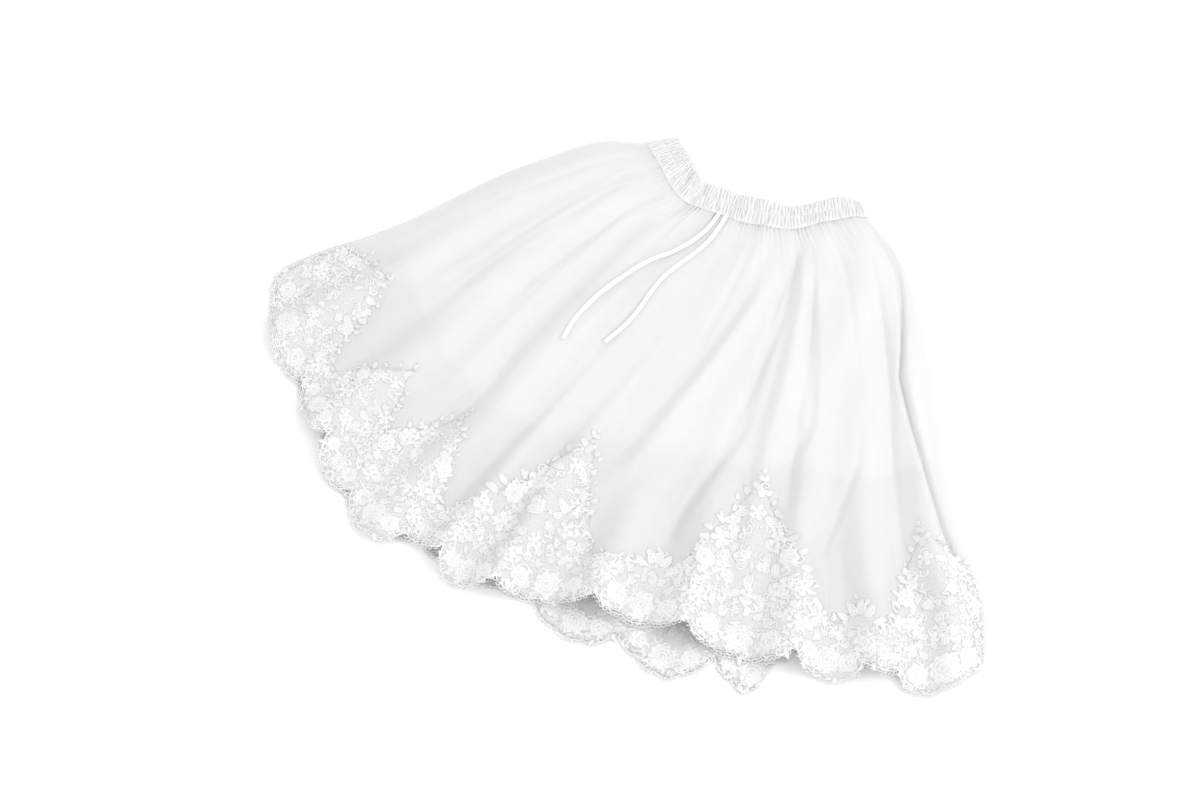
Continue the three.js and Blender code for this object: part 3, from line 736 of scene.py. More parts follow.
def veil(name, colour, shown, net_pitch, net_share, through):
    """A net seen from afar: shown is the share of light that one face stops."""
    material, tree, output = new_material(name)
    uv = add_node(tree, "ShaderNodeUVMap", uv_map="UVMap")
    cells = add_node(tree, "ShaderNodeTexVoronoi", [(uv.outputs[0], "Vector")],
                     feature="DISTANCE_TO_EDGE", Scale=1000 / net_pitch, Randomness=0.25)
    thread = add_node(tree, "ShaderNodeMapRange", [(cells.outputs["Distance"], "Value")],
                      From_Min=0.05, From_Max=0.3,
                      To_Min=shown + net_share, To_Max=shown - net_share)
    cloud = add_node(tree, "ShaderNodeTexNoise", [(uv.outputs[0], "Vector")],
                     Scale=9.0, Detail=4.0)
    tone = add_node(tree, "ShaderNodeMapRange", [(cloud.outputs["Fac"], "Value")],
                    From_Min=0.3, From_Max=0.7, To_Min=-0.03, To_Max=0.03)
    alpha = add_node(tree, "ShaderNodeMath", [(thread.outputs[0], 0), (tone.outputs[0], 1)],
                     operation="ADD", use_clamp=True)
    bump = add_node(tree, "ShaderNodeBump", [(cells.outputs["Distance"], "Height")],
                    Strength=0.08, Distance=0.0003, invert=True)
    shader = add_node(tree, "ShaderNodeBsdfPrincipled", [(bump.outputs[0], "Normal")],
                      Base_Color=linear(colour), Roughness=0.75, IOR=1.53)
    shader.inputs["Sheen Weight"].default_value = 0.15
    shader.inputs["Sheen Roughness"].default_value = 0.5
    shader.inputs["Specular IOR Level"].default_value = 0.25
    thread = let_light_through(tree, shader, colour, through)
    holes = tree.nodes.new("ShaderNodeBsdfTransparent")
    net = add_node(tree, "ShaderNodeMixShader", [(alpha.outputs[0], 0), (holes.outputs[0], 1),
                                                 (thread.outputs[0], 2)])
    tree.links.new(net.outputs[0], output.inputs["Surface"])
    return material


# smooth nylon thread: a cool white with a weak sheen, and a third of the view comes through
nylon_tulle = veil("nylon_tulle", "#f2f4f3", 0.66, NET_PITCH, 0.03, 0.2)
for panel in (tulle_front, tulle_back):
    panel.data.materials.append(nylon_tulle)
print("tulle:", nylon_tulle.name, "with", len(nylon_tulle.node_tree.nodes), "nodes")

# %% [markdown]
# The lining is cotton jersey: opaque, matt and soft, with fine knitted ribs that run down the
# cloth. The drawstring is a knitted cotton tape, a little smoother and whiter. Both are columns
# and rows of stitches, so one function draws both: two waves multiplied make the stitches' bumps.

# %% Cotton jersey and knitted tape
def knit(name, colour, rib_pitch, row_pitch, depth, roughness):
    """Matt cotton with stitches: pitches and depth in millimetres, drawn coarse enough to show."""
    material, tree, output = new_material(name)
    uv = add_node(tree, "ShaderNodeUVMap", uv_map="UVMap")
    ribs = add_node(tree, "ShaderNodeTexWave", [(uv.outputs[0], "Vector")], wave_type="BANDS",
                    bands_direction="X", Scale=2 * math.pi / 20 * 1000 / rib_pitch)
    rows = add_node(tree, "ShaderNodeTexWave", [(uv.outputs[0], "Vector")], wave_type="BANDS",
                    bands_direction="Y", Scale=2 * math.pi / 20 * 1000 / row_pitch)
    both = add_node(tree, "ShaderNodeMath", [(ribs.outputs["Fac"], 0), (rows.outputs["Fac"], 1)],
                    operation="MULTIPLY")
    bump = add_node(tree, "ShaderNodeBump", [(both.outputs[0], "Height")], Strength=0.5,
                    Distance=depth * MM)
    cloud = add_node(tree, "ShaderNodeTexNoise", [(uv.outputs[0], "Vector")], Scale=14.0)
    tone = add_node(tree, "ShaderNodeValToRGB", [(cloud.outputs["Fac"], "Fac")])
    tone.color_ramp.elements[0].color = linear(colour[0])
    tone.color_ramp.elements[1].color = linear(colour[1])
    shader = add_node(tree, "ShaderNodeBsdfPrincipled",
                      [(tone.outputs["Color"], "Base Color"), (bump.outputs[0], "Normal")],
                      Roughness=roughness, IOR=1.53)
    shader.inputs["Specular IOR Level"].default_value = 0.2
    tree.links.new(shader.outputs[0], output.inputs["Surface"])
    return material


cotton_jersey = knit("cotton_jersey", ("#f2f3f3", "#f8f9f8"), 1.6, 1.6, 0.2, 0.9)
cotton_tape = knit("cotton_tape", ("#f1f3f2", "#f9faf9"), 1.4, 2.0, 0.3, 0.8)
# the casing's tulle is doubled and shirred, so it lets much less light through
gathered_tulle = veil("gathered_tulle", "#edeeed", 0.88, NET_PITCH, 0.05, 0.05)
for panel in linings:
    panel.data.materials.append(cotton_jersey)
for tape in tapes:
    tape.data.materials.append(cotton_tape)
for casing in (casing_front, casing_back):
    casing.data.materials.append(gathered_tulle)

# %% [markdown]
# The lace border was embroidered flat and then sewn on, so it is drawn flat: u runs along the
# hem and v up from it. A point of the drawing is laid on the skirt through the same two shares
# as the cloth. The fan is narrower higher up, so a motif's centre goes where the drawing says
# and its own small shape is set out in true millimetres around that centre.

# %% From the flat drawing to the skirt
LACE_OFF = TULLE + GAP


class Cloth:
    """One side of the skirt: its hem line, its scallops and how a point is laid on it."""

    def __init__(self, hem, groups, place):
        self.hem, self.groups, self.place = hem, groups, place

    def shares(self, u, v):
        across = np.clip(u / HEM_ARC, 0, 1)
        length = np.linalg.norm(fan(self.hem, across, np.zeros_like(across))
                                - fan(self.hem, across, np.ones_like(across)), axis=-1)
        return across, 1 - v / length

    def edge(self, u, lobes=True):
        return group_edge(self.groups, np.clip(u / HEM_ARC, 0, 1), lobes)

    def drape(self, centre_u, centre_v, dx, dy, off):
        """Lays the point (dx, dy), in true millimetres beside the motif's centre."""
        across, along = self.shares(centre_u, centre_v)
        step = 0.004
        low, high = np.clip(across - step, 0, 1), np.clip(across + step, 0, 1)
        sideways = fan(self.hem, high, along) - fan(self.hem, low, along)
        sideways /= (high - low)[..., None]
        upwards = fan(self.hem, across, along - step) - fan(self.hem, across, along + step)
        upwards /= 2 * step
        unit = upwards / np.linalg.norm(upwards, axis=-1, keepdims=True)
        right = np.stack([unit[..., 1], -unit[..., 0]], axis=-1)
        move = right * dx[..., None] + unit * dy[..., None]
        det = sideways[..., 0] * upwards[..., 1] - sideways[..., 1] * upwards[..., 0]
        more_across = (move[..., 0] * upwards[..., 1] - move[..., 1] * upwards[..., 0]) / det
        more_up = (sideways[..., 0] * move[..., 1] - sideways[..., 1] * move[..., 0]) / det
        return self.place(np.clip(across + more_across, 0.0, 1.0), along - more_up, off)


front_cloth = Cloth(FRONT_HEM, FRONT_GROUPS, front_place)
back_cloth = Cloth(BACK_HEM, BACK_GROUPS, back_place)
print("laid length in the middle:", round(float(skirt_length(np.array([0.5]))[0])), "mm")

# %% [markdown]
# The border has a lower edge of scallops and an upper outline that climbs to a pointed spray and
# falls again. The sprays differ in height and in width on each side, so a table holds them, and
# one drawn profile is stretched to each. Two low motifs fill the widest gaps.

# %% The border's outline
SPRAY_OUTLINE = ((0, 14, 30, 46, 56, 68, 84, 98, 118, 134, 135),
                 (226, 208, 192, 176, 156, 140, 120, 96, 72, 58, 0))
# share of the hem under the tip, height and the two widths beside a full spray's
SPRAYS = [(0.075, 0.72, 1.3, 0.6), (0.197, 0.7, 0.6, 0.5), (0.29, 0.83, 0.7, 0.6),
          (0.459, 1, 1.1, 0.65), (0.712, 0.97, 0.9, 0.95), (0.941, 0.85, 0.75, 1.1)]
LOW_MOTIFS = [(0.6, 84, 34), (0.844, 96, 30)]  # share of the hem, height and half width
LOW_BORDER = 60
EDGE_INSET = 4


def top_of_lace(u):
    """Height of the border's upper outline above the hem line."""
    top = np.full(np.shape(u), float(LOW_BORDER))
    for at, high, left, right in SPRAYS:
        off = u - at * HEM_ARC
        top = np.maximum(top, high * np.interp(np.abs(off) / np.where(off < 0, left, right),
                                               *SPRAY_OUTLINE))
    for at, up, half in LOW_MOTIFS:
        off = np.abs(u - at * HEM_ARC) / half
        top = np.maximum(top, np.where(off < 1, up + (LOW_BORDER - up) * off, 0))
    return top


# %% [markdown]
# The lace has a ground of twisted threads that cross in diamonds. It could be a pattern in a
# material, but real bars catch light on their edges and cast shadows, so it is a wire mesh: a
# grid turned by 45 degrees, cut to the border's outline and given thickness by the Wireframe
# modifier. Between the bars lies a finer net than any mesh can hold, and a thin cloth under the
# bars stands for it.

# %% The lace ground
NET_THREAD = 0.75
NET_PITCHES = {"front": 3.3, "back": 4.4, "fine": 4.0}  # millimetres along a diamond's side
FINE_WALL, FINE_UNDER = 0.15, 0.2


def border_grid(name, cloth, height, off, pitch, first=0.0, last=1.0):
    """Diamonds that fill the border from one share of the hem to another, with UVs in metres."""
    bm = bmesh.new()
    uv_map = bm.loops.layers.uv.new("UVMap")
    count = int((HEM_ARC + 240) / pitch / math.sqrt(2)) + 4
    bmesh.ops.create_grid(bm, x_segments=count, y_segments=count, size=count * pitch / 2)
    bmesh.ops.rotate(bm, verts=bm.verts, matrix=Matrix.Rotation(math.pi / 4, 3, "Z"))
    flat = np.array([v.co[:2] for v in bm.verts]) + (HEM_ARC / 2, 110)
    flat += 0.2 * pitch * random.uniform(-1, 1, flat.shape)
    inside = ((flat[:, 0] > max(EDGE_INSET, first * HEM_ARC))
              & (flat[:, 0] < min(HEM_ARC - EDGE_INSET, last * HEM_ARC))
              & (flat[:, 1] > cloth.edge(flat[:, 0]) + 1)
              & (flat[:, 1] < top_of_lace(flat[:, 0]) * height - 3))
    bmesh.ops.delete(bm, geom=[v for v, keep in zip(list(bm.verts), inside) if not keep],
                     context="VERTS")
    flat = flat[inside]
    for face in bm.faces:
        for loop in face.loops:
            loop[uv_map].uv = loop.vert.co.xy * MM
    place = cloth.place(*cloth.shares(flat[:, 0], flat[:, 1]), np.full(len(flat), off))
    for vertex, co in zip(bm.verts, place):
        vertex.co = co
    mesh = bpy.data.meshes.new(name)
    bm.to_mesh(mesh)
    bm.free()
    mesh.shade_smooth()
    piece = bpy.data.objects.new(name, mesh)
    bpy.context.scene.collection.objects.link(piece)
    print(f"{name}: {len(mesh.polygons)} diamonds")
    return piece


def net_ground(*args):
    """Threads along the sides of the diamonds."""
    net = border_grid(*args)
    wire = net.modifiers.new("threads", "WIREFRAME")
    wire.thickness, wire.use_even_offset, wire.use_boundary = NET_THREAD * MM, False, True
    return net


grounds = [net_ground(f"lace_ground_{side}", front_cloth, 1.0, LACE_OFF, NET_PITCHES["front"],
                      *reach) for side, reach in (("left", (0.0, 0.5)), ("right", (0.497, 1.0)))]
backing = border_grid("lace_backing", front_cloth, 1.0, LACE_OFF - FINE_UNDER, NET_PITCHES["fine"])
thicken(backing, FINE_WALL)
for ground in (*grounds, backing):
    join_skirt(ground, "lace", "lace_front")

# %% [markdown]
# Each motif is one small closed shell, made once: a grid bent to the motif's shape, given a wall
# and a UV map that follows its threads. Raised cord runs round every petal, as in real
# embroidered lace. A table then says where the copies go, and numpy lays all the copies on the
# cloth as one joined mesh, because thousands of objects would be slow.

# %% Motif shapes
WALL = 0.3  # millimetres of embroidery under the raised cord
RELIEF = 0.55  # the cord's height beside the shapes below


def shell(columns, rows, shape):
    """A closed shell: shape(s, t) gives x, y and height for s and t from 0 to 1."""
    bm = bmesh.new()
    bm.loops.layers.uv.new("UVMap")
    bmesh.ops.create_grid(bm, x_segments=columns, y_segments=rows, size=0.5, calc_uvs=True)
    shares = np.array([v.co[:2] for v in bm.verts]) + 0.5
    for vertex, co in zip(bm.verts, np.stack(shape(shares[:, 0], shares[:, 1]), axis=-1)):
        vertex.co = co
    bmesh.ops.remove_doubles(bm, verts=bm.verts, dist=1e-4)
    bmesh.ops.dissolve_degenerate(bm, edges=bm.edges, dist=1e-4)
    back = bmesh.ops.extrude_face_region(bm, geom=list(bm.faces), use_keep_orig=True)["geom"]
    for vertex in (item for item in back if isinstance(item, bmesh.types.BMVert)):
        vertex.co.z = -WALL
    bmesh.ops.recalc_face_normals(bm, faces=bm.faces)
    return bm


def leaf(side, turn):
    """A pointed leaf or petal, 1 long, from its foot at the origin: corded rim and midrib."""
    x = (side - 0.5) * 2
    half = 0.24 * np.sin(np.pi * np.clip(turn, 0, 1) ** 0.75) ** 0.75 + 0.004
    scallops = 1 + 0.07 * np.cos(2 * np.pi * 5 * turn)
    rim = np.exp(-((np.abs(x) - 0.8) / 0.17) ** 2)
    rib = np.exp(-((x) / 0.14) ** 2)
    high = 0.1 + 1.0 * rim + 0.8 * rib * (turn < 0.9)
    return x * half * scallops + 0.07 * np.sin(np.pi * turn), turn, high


def rose(side, turn):
    """Petals laid over each other in a spiral, radius 1: each shows a raised outer rim."""
    radius = 0.015 + 0.985 * side
    angle = 2 * np.pi * turn
    wave = np.abs(np.cos(2.5 * angle + 3 * radius))
    spiral = (2.6 * radius + 0.25 * wave - turn) % 1
    edge = 1 - 0.15 * (1 - np.abs(np.cos(3.5 * angle))) * ramp(0.6, 1, radius)
    high = 0.15 + 1.3 * spiral**3 + 0.3 * wave
    return radius * edge * np.cos(angle), radius * edge * np.sin(angle), high


def blossom(side, turn):
    """Five open petals with corded rims round a knot, radius 1."""
    radius = 0.015 + 0.985 * side
    angle = 2 * np.pi * turn
    wave = np.abs(np.cos(2.5 * angle))
    edge = 0.42 + 0.58 * wave ** 0.55
    high = (0.1 + 1.1 * np.exp(-((radius - 0.88) / 0.12) ** 2) + 1.0 * np.exp(-(radius / 0.2) ** 2)
            + 0.5 * np.exp(-((1 - wave) / 0.12) ** 2) * (radius > 0.2))
    return radius * edge * np.cos(angle), radius * edge * np.sin(angle), high


def bud(side, turn):
    """A small oval knot, radius 1."""
    radius = 0.02 + 0.98 * side
    angle = 2 * np.pi * turn
    high = 0.1 + 1.1 * np.exp(-((radius - 0.74) / 0.2) ** 2) + 0.4 * (radius < 0.2)
    return 0.7 * radius * np.cos(angle), radius * np.sin(angle), high


def roundel(side, turn):
    """A full-blown rose, radius 1: many narrow petals round a knot, with a deeply cut outline."""
    radius = 0.015 + 0.985 * side
    angle = 2 * np.pi * turn
    wave = np.abs(np.cos(4.5 * angle - 5 * radius))
    spiral = (3.8 * radius + 0.35 * wave + turn) % 1
    edge = 1 - 0.16 * (1 - np.abs(np.cos(4.5 * angle))) * ramp(0.55, 1, radius)
    high = 0.15 + 1.4 * spiral**3 + 0.4 * (1 - wave) + 0.5 * (radius < 0.12)
    return radius * edge * np.cos(angle), radius * edge * np.sin(angle), high


def curl(side, turn):
    """A thin cord bent to three quarters of a circle, about 1 across."""
    angle = 1.55 * np.pi * turn
    radius = 0.42 + 0.13 * (2 * side - 1) + 0.12 * turn
    high = 0.1 + 0.9 * np.sin(np.pi * side)
    return radius * np.cos(angle), radius * np.sin(angle), high


MOTIFS = {name: shell(*size, shape) for name, size, shape in (
    ("leaf", (8, 10), leaf), ("rose", (18, 42), rose), ("blossom", (7, 40), blossom),
    ("bud", (3, 8), bud), ("roundel", (24, 54), roundel), ("curl", (2, 9), curl),
    ("leaflet", (4, 6), leaf))}
for name, bm in MOTIFS.items():
    print(f"{name}: {len(bm.faces)} faces, closed: {not any(e.is_boundary for e in bm.edges)}")

# %% [markdown]
# The drawing, in millimetres. A spray climbs to a pointed tip: blossoms and leaves climb both
# sides, and gaps inside stay open net. A group of roses and leaves fills each group of scallops,
# and a tuft of leaves stands on each low motif. Small curls, leaves and knots fill what is left,
# and small loops of thread, called picots, stand out from the scallops.

# %% The drawing
# motif, u from the middle, v above the hem, size, turn in degrees (0 points up)
SPRAY = [
    ("bud", 0, 231, 6, 0), ("leaf", -2, 218, 17, 38), ("leaf", 2, 217, 17, -38),
    ("leaf", -4, 206, 22, 62), ("leaf", 5, 205, 22, -60), ("leaf", 0, 196, 20, 0),
    ("leaf", -24, 196, 22, 48), ("leaf", 24, 194, 20, -42), ("bud", -13, 200, 4, 20),
    ("blossom", 0, 178, 13, 10), ("leaf", -12, 172, 24, 100), ("leaf", 12, 172, 26, -96),
    ("bud", -44, 190, 7, 15), ("bud", -36, 178, 5, 60), ("leaf", -46, 168, 20, 12),
    ("leaf", 34, 192, 22, -150), ("leaf", 40, 176, 22, -165), ("bud", 46, 182, 5, -30),
    ("blossom", -40, 156, 15, 30), ("blossom", 42, 152, 15, -20),
    ("leaf", -28, 150, 22, 165), ("leaf", -22, 132, 20, 150), ("leaf", 24, 150, 22, -160),
    ("leaf", 26, 130, 24, -190), ("leaf", -56, 148, 26, 70), ("leaf", 58, 150, 26, -62),
    ("bud", -66, 158, 5, 40), ("bud", 64, 160, 5, -40), ("bud", 70, 146, 5, -80),
    ("blossom", -58, 126, 15, 55), ("rose", 60, 126, 15, 0), ("leaf", -74, 130, 24, 62),
    ("leaf", 76, 132, 24, -66), ("leaf", -76, 116, 26, 95), ("leaf", 78, 114, 28, -98),
    ("leaf", -44, 118, 22, 200), ("leaf", 42, 118, 24, -205), ("leaf", -34, 108, 30, -84),
    ("leaf", 32, 106, 28, 82), ("leaf", -6, 100, 22, 72), ("leaf", 6, 100, 24, -74),
    ("bud", 0, 104, 5, 0), ("bud", -88, 106, 6, 70), ("bud", 92, 104, 6, -70),
    ("blossom", -48, 84, 15, 0), ("blossom", 50, 82, 16, 20), ("rose", -78, 88, 15, 0),
    ("blossom", 80, 86, 14, 40), ("leaf", -30, 88, 20, 180), ("leaf", 32, 88, 20, -172),
    ("leaf", 0, 92, 26, 180), ("leaf", -10, 66, 22, 120), ("leaf", 10, 66, 24, -118),
    ("blossom", 0, 62, 13, 0), ("leaf", -26, 60, 20, 98), ("leaf", 28, 60, 20, -98),
    ("leaf", -62, 66, 20, 150), ("leaf", 64, 66, 20, -150), ("leaf", -92, 78, 20, 130),
    ("leaf", 94, 76, 20, -128), ("bud", -60, 52, 5, 30), ("bud", 62, 52, 5, -30),
    ("blossom", -106, 62, 11, 0), ("blossom", 108, 62, 11, 30),
]
GROUP = [
    ("roundel", 0, 19, 18, 0), ("rose", -35, 19, 13, 0), ("rose", 34, 18, 13, 45),
    ("leaf", -19, 8, 13, 60), ("leaf", 19, 8, 13, -60), ("leaf", -22, 34, 17, 40),
    ("leaf", 22, 34, 17, -40), ("leaf", 0, 42, 18, 0), ("leaf", -8, 42, 16, 40),
    ("leaf", 9, 42, 16, -42), ("bud", 0, 64, 4, 0), ("blossom", -55, 34, 11, 0),
    ("blossom", 55, 34, 11, 20), ("leaf", -40, 36, 18, 20), ("leaf", 42, 36, 17, -24),
    ("leaf", -26, 48, 16, 70), ("leaf", 28, 48, 16, -70), ("bud", -14, 56, 4, 20),
    ("bud", 16, 56, 4, -20), ("leaf", -52, 14, 12, 80), ("leaf", 52, 14, 12, -80),
]
TUFT = [
    ("leaf", 0, 62, 24, 0), ("leaf", -6, 60, 22, 30), ("leaf", 6, 60, 22, -32),
    ("leaf", -16, 54, 20, 58), ("leaf", 16, 54, 20, -56), ("bud", -4, 84, 4, 0),
    ("bud", 10, 78, 4, -20), ("bud", -16, 74, 4, 30),
]
# open net inside a spray: u and v of the middle, half width, half height
GAPS = [(-20, 186, 9, 14), (19, 184, 9, 14), (3, 138, 14, 26), (-20, 82, 9, 12),
        (20, 82, 11, 14), (-66, 104, 7, 6), (66, 102, 7, 6)]


SIDE_FREE = 8  # millimetres beside each side seam that hold no motif
FILL_FROM = -24
PICOT_PITCH = 5.4


def mesh_from_arrays(name, corners, counts, loops, uvs):
    """One mesh from numpy arrays: corners, corners per face, their numbers and their UVs."""
    mesh = bpy.data.meshes.new(name)
    mesh.vertices.add(len(corners))
    mesh.loops.add(len(loops))
    mesh.polygons.add(len(counts))
    mesh.vertices.foreach_set("co", np.ascontiguousarray(corners, np.float32).ravel())
    mesh.loops.foreach_set("vertex_index", np.ascontiguousarray(loops, np.int32))
    mesh.polygons.foreach_set("loop_start", (np.cumsum(counts) - counts).astype(np.int32))
    layer = mesh.uv_layers.new(name="UVMap")
    layer.data.foreach_set("uv", np.ascontiguousarray(uvs, np.float32).ravel())
    mesh.update(calc_edges=True)
    mesh.shade_smooth()
    return mesh


def lay_motifs(name, rows, cloth, off):
    """Lays copies of the motifs on the cloth, as one mesh with one UV island a motif."""
    corners, counts, loops, uvs, raised, start = [], [], [], [], [], 0
    for kind, bm in MOTIFS.items():
        chosen = np.array([row[1:] for row in rows if row[0] == kind], float).reshape(-1, 4)
        copies = len(chosen)
        if not copies:
            continue
        bm.verts.index_update()
        layer = bm.loops.layers.uv.active
        shape = np.array([v.co[:] for v in bm.verts])
        face_count = np.array([len(face.verts) for face in bm.faces])
        face_loops = np.array([v.index for face in bm.faces for v in face.verts])
        face_uvs = np.array([loop[layer].uv[:] for face in bm.faces for loop in face.loops])
        turn = np.radians(chosen[:, 3])[:, None]
        size = chosen[:, 2][:, None]
        dx = size * (shape[:, 0] * np.cos(turn) - shape[:, 1] * np.sin(turn))
        dy = size * (shape[:, 0] * np.sin(turn) + shape[:, 1] * np.cos(turn))
        u, v = (np.repeat(chosen[:, k][:, None], len(shape), axis=1) for k in (0, 1))
        relief = np.where(shape[:, 2] > 0, RELIEF * shape[:, 2], shape[:, 2])
        high = off + np.repeat(relief[None], copies, axis=0)
        corners.append(cloth.drape(u, v, dx, dy, high).reshape(-1, 3))
        counts.append(np.tile(face_count, copies))
        firsts = start + np.arange(copies) * len(shape)
        loops.append((face_loops[None, :] + firsts[:, None]).ravel())
        uvs.append((face_uvs[None] * chosen[:, 2][:, None, None]).reshape(-1, 2))
        # each corner's height, which the satin material turns into a painted highlight on the
        # cords and painted shade between them
        raised.append(np.tile(np.clip(shape[:, 2] / 1.1, 0, 1), copies))
        start += copies * len(shape)
    parts = (np.concatenate(part) for part in (corners, counts, loops, uvs))
    mesh = mesh_from_arrays(name, *parts)
    mesh.attributes.new("raised", "FLOAT", "POINT").data.foreach_set(
        "value", np.concatenate(raised).astype(np.float32))
    piece = bpy.data.objects.new(name, mesh)
    bpy.context.scene.collection.objects.link(piece)
    triangles = len(mesh.loops) - 2 * len(mesh.polygons)
    print(f"{name}: {len(rows)} motifs, {triangles} triangles")
    return piece


NARROW, THINNED = 0.8, 0.25  # a narrow spray side loses this share of its motifs
RIM_NEAR, RIM_SIZE, RIM_MOVE = 16, 0.8, 10  # motifs near the outline are smaller and moved in


def spray_rows(table):
    """The table's motifs on every spray, squeezed to its height and to its two widths."""
    rows = []
    for index, (at, high, left, right) in enumerate(SPRAYS):
        mirror = -1 if index % 2 else 1
        for kind, u, v, size, turn in table:
            wide = left if mirror * u < 0 else right
            place = at * HEM_ARC + mirror * u * wide
            within = SIDE_FREE < place < HEM_ARC - SIDE_FREE
            if within and not (wide < NARROW and random.random() < THINNED):
                rim = RIM_SIZE if v * high > top_of_lace(place) - RIM_NEAR else 1.0
                place -= mirror * (1 - rim) * np.sign(u) * RIM_MOVE
                up = v * high + random.uniform(-1.5, 1.5)
                size *= rim * min(high, 0.5 + wide / 2, 1) * random.uniform(0.78, 0.98)
                turn = mirror * turn * min(wide, 1) + random.uniform(-10, 10)
                rows.append((kind, place, up, size, turn))
    return rows


def group_rows(table, cloth):
    """The table's motifs on every group of scallops, spread over its width."""
    rows = []
    for group, after in zip(cloth.groups[:-1], cloth.groups[1:]):
        wide = (after[0] - group[0]) * HEM_ARC
        for kind, u, v, size, turn in table:
            place = (group[0] + after[0]) / 2 * HEM_ARC + u * wide / 120
            if SIDE_FREE < place < HEM_ARC - SIDE_FREE:
                sag = float(cloth.edge(np.array(place), False)) * max(1 - v / 110, 0)
                size *= min(wide / 100, 1) * random.uniform(0.9, 1.1)
                turn += random.uniform(-12, 12)
                rows.append((kind, place, v + sag, size, turn))
    return rows


def low_motif_rows(table):
    """The table's motifs over both low motifs."""
    rows = []
    for at, up, half in LOW_MOTIFS:
        rows += [(kind, at * HEM_ARC + u, v * up / 84, size * random.uniform(0.9, 1.1), turn)
                 for kind, u, v, size, turn in table]
    return rows


def filling(rows, cloth, tops, tries):
    """Curls, small leaves and knots where the drawing has room, outside its open gaps."""
    highest = tops(SPRAYS[0][0] * HEM_ARC) + 50
    u = random.uniform(SIDE_FREE, HEM_ARC - SIDE_FREE, tries)
    v = random.uniform(FILL_FROM, highest, tries)
    free = (v > cloth.edge(u) + 4) & (v < tops(u) - 4)
    for at, tall, left, right in SPRAYS:
        off = u - at * HEM_ARC
        out = off / np.where(off < 0, left, right)
        for gap_u, gap_v, wide, high in GAPS:
            free &= ((out - gap_u) / (wide + 3)) ** 2 + ((v / tall - gap_v) / (high + 3)) ** 2 > 1
    placed = np.zeros((len(rows) + tries, 3))
    placed[:len(rows)] = [row[1:4] for row in rows]
    count = len(rows)
    filled = []
    for at in np.nonzero(free)[0]:
        near = np.hypot(placed[:count, 0] - u[at], placed[:count, 1] - v[at])
        if (near < 0.42 * placed[:count, 2] + 1.4).any():
            continue
        kind = str(random.choice(["curl", "leaflet", "bud"], p=[0.55, 0.35, 0.1]))
        low, high = {"curl": (7, 11), "leaflet": (9, 14), "bud": (2.2, 3.2)}[kind]
        filled.append((kind, u[at], v[at], random.uniform(low, high), random.uniform(-180, 180)))
        placed[count] = u[at], v[at], 5
        count += 1
    return filled


def picots(cloth):
    """Small loops of thread that stand out from the scallops, side by side."""
    u = np.arange(9, HEM_ARC - 9, PICOT_PITCH)
    return [("curl", at, edge - 0.4, random.uniform(4, 5), random.uniform(150, 250))
            for at, edge in zip(u, cloth.edge(u))]


def is_rose(row):
    return row[0] in ("rose", "roundel")


drawn = spray_rows(SPRAY) + group_rows(GROUP, front_cloth) + low_motif_rows(TUFT)
small = filling(drawn, front_cloth, top_of_lace, 14000)
LACE_PIECES = {
    "lace_leaves": [row for row in drawn if row[0] in ("leaf", "bud")],
    "lace_blossoms": [row for row in drawn if row[0] == "blossom"],
    "lace_roses": [row for row in drawn if is_rose(row)],
    "lace_filling_left": [row for row in small if row[1] < HEM_ARC / 2],
    "lace_filling_right": [row for row in small if row[1] >= HEM_ARC / 2],
    "lace_picots": picots(front_cloth),
}
lace_motifs = [lay_motifs(name, rows, front_cloth, LACE_OFF + WALL)
               for name, rows in LACE_PIECES.items()]
for piece in lace_motifs:
    join_skirt(piece, "lace", "lace_front")

# %% [markdown]
# A thick satin-stitched cord follows the scallops, and a thinner one runs inside it. Bevelled
# curves could follow the edge too, but the cords must lie on the cloth like the motifs, so they
# are tubes laid along the flat drawing's edge line by the same function.

# %% Scalloped edge
LOOP = 9.5  # millimetres from one small loop of the edge cord to the next
CORD_OFF = 0.7


def edge_cord(name, cloth, inset, thick, off, steps=2600):
    """A cord along the scallops: its inset from the edge and its half thickness in millimetres."""
    bm, shares = tube_grid(name, 6, steps)
    u = 6 + shares[:, 1] * (HEM_ARC - 12)
    v = cloth.edge(u) + inset + 1.8 * np.abs(np.sin(np.pi * u / LOOP)) ** 0.7
    turn = 2 * np.pi * shares[:, 0]
    ahead, behind = (cloth.edge(u + d) for d in (0.4, -0.4))
    slope = np.arctan2(ahead - behind, 0.8)
    side = np.cos(turn) * thick
    place = cloth.drape(u, v, -np.sin(slope) * side, np.cos(slope) * side,
                        off + np.sin(turn) * thick * 0.8)
    for vertex, co in zip(bm.verts, place):
        vertex.co = co
    bmesh.ops.remove_doubles(bm, verts=bm.verts, dist=1e-6)
    bmesh.ops.holes_fill(bm, edges=[e for e in bm.edges if e.is_boundary], sides=8)
    bmesh.ops.recalc_face_normals(bm, faces=bm.faces)
    mesh = bpy.data.meshes.new(name)
    bm.to_mesh(mesh)
    bm.free()
    mesh.shade_smooth()
    cord = bpy.data.objects.new(name, mesh)
    bpy.context.scene.collection.objects.link(cord)
    return cord


edge_front = edge_cord("lace_edge", front_cloth, 0.6, 0.7, LACE_OFF + CORD_OFF)
edge_inner = edge_cord("lace_edge_inner", front_cloth, 3.4, 0.5, LACE_OFF + CORD_OFF)
for piece in (edge_front, edge_inner):
    join_skirt(piece, "lace", "lace_front")
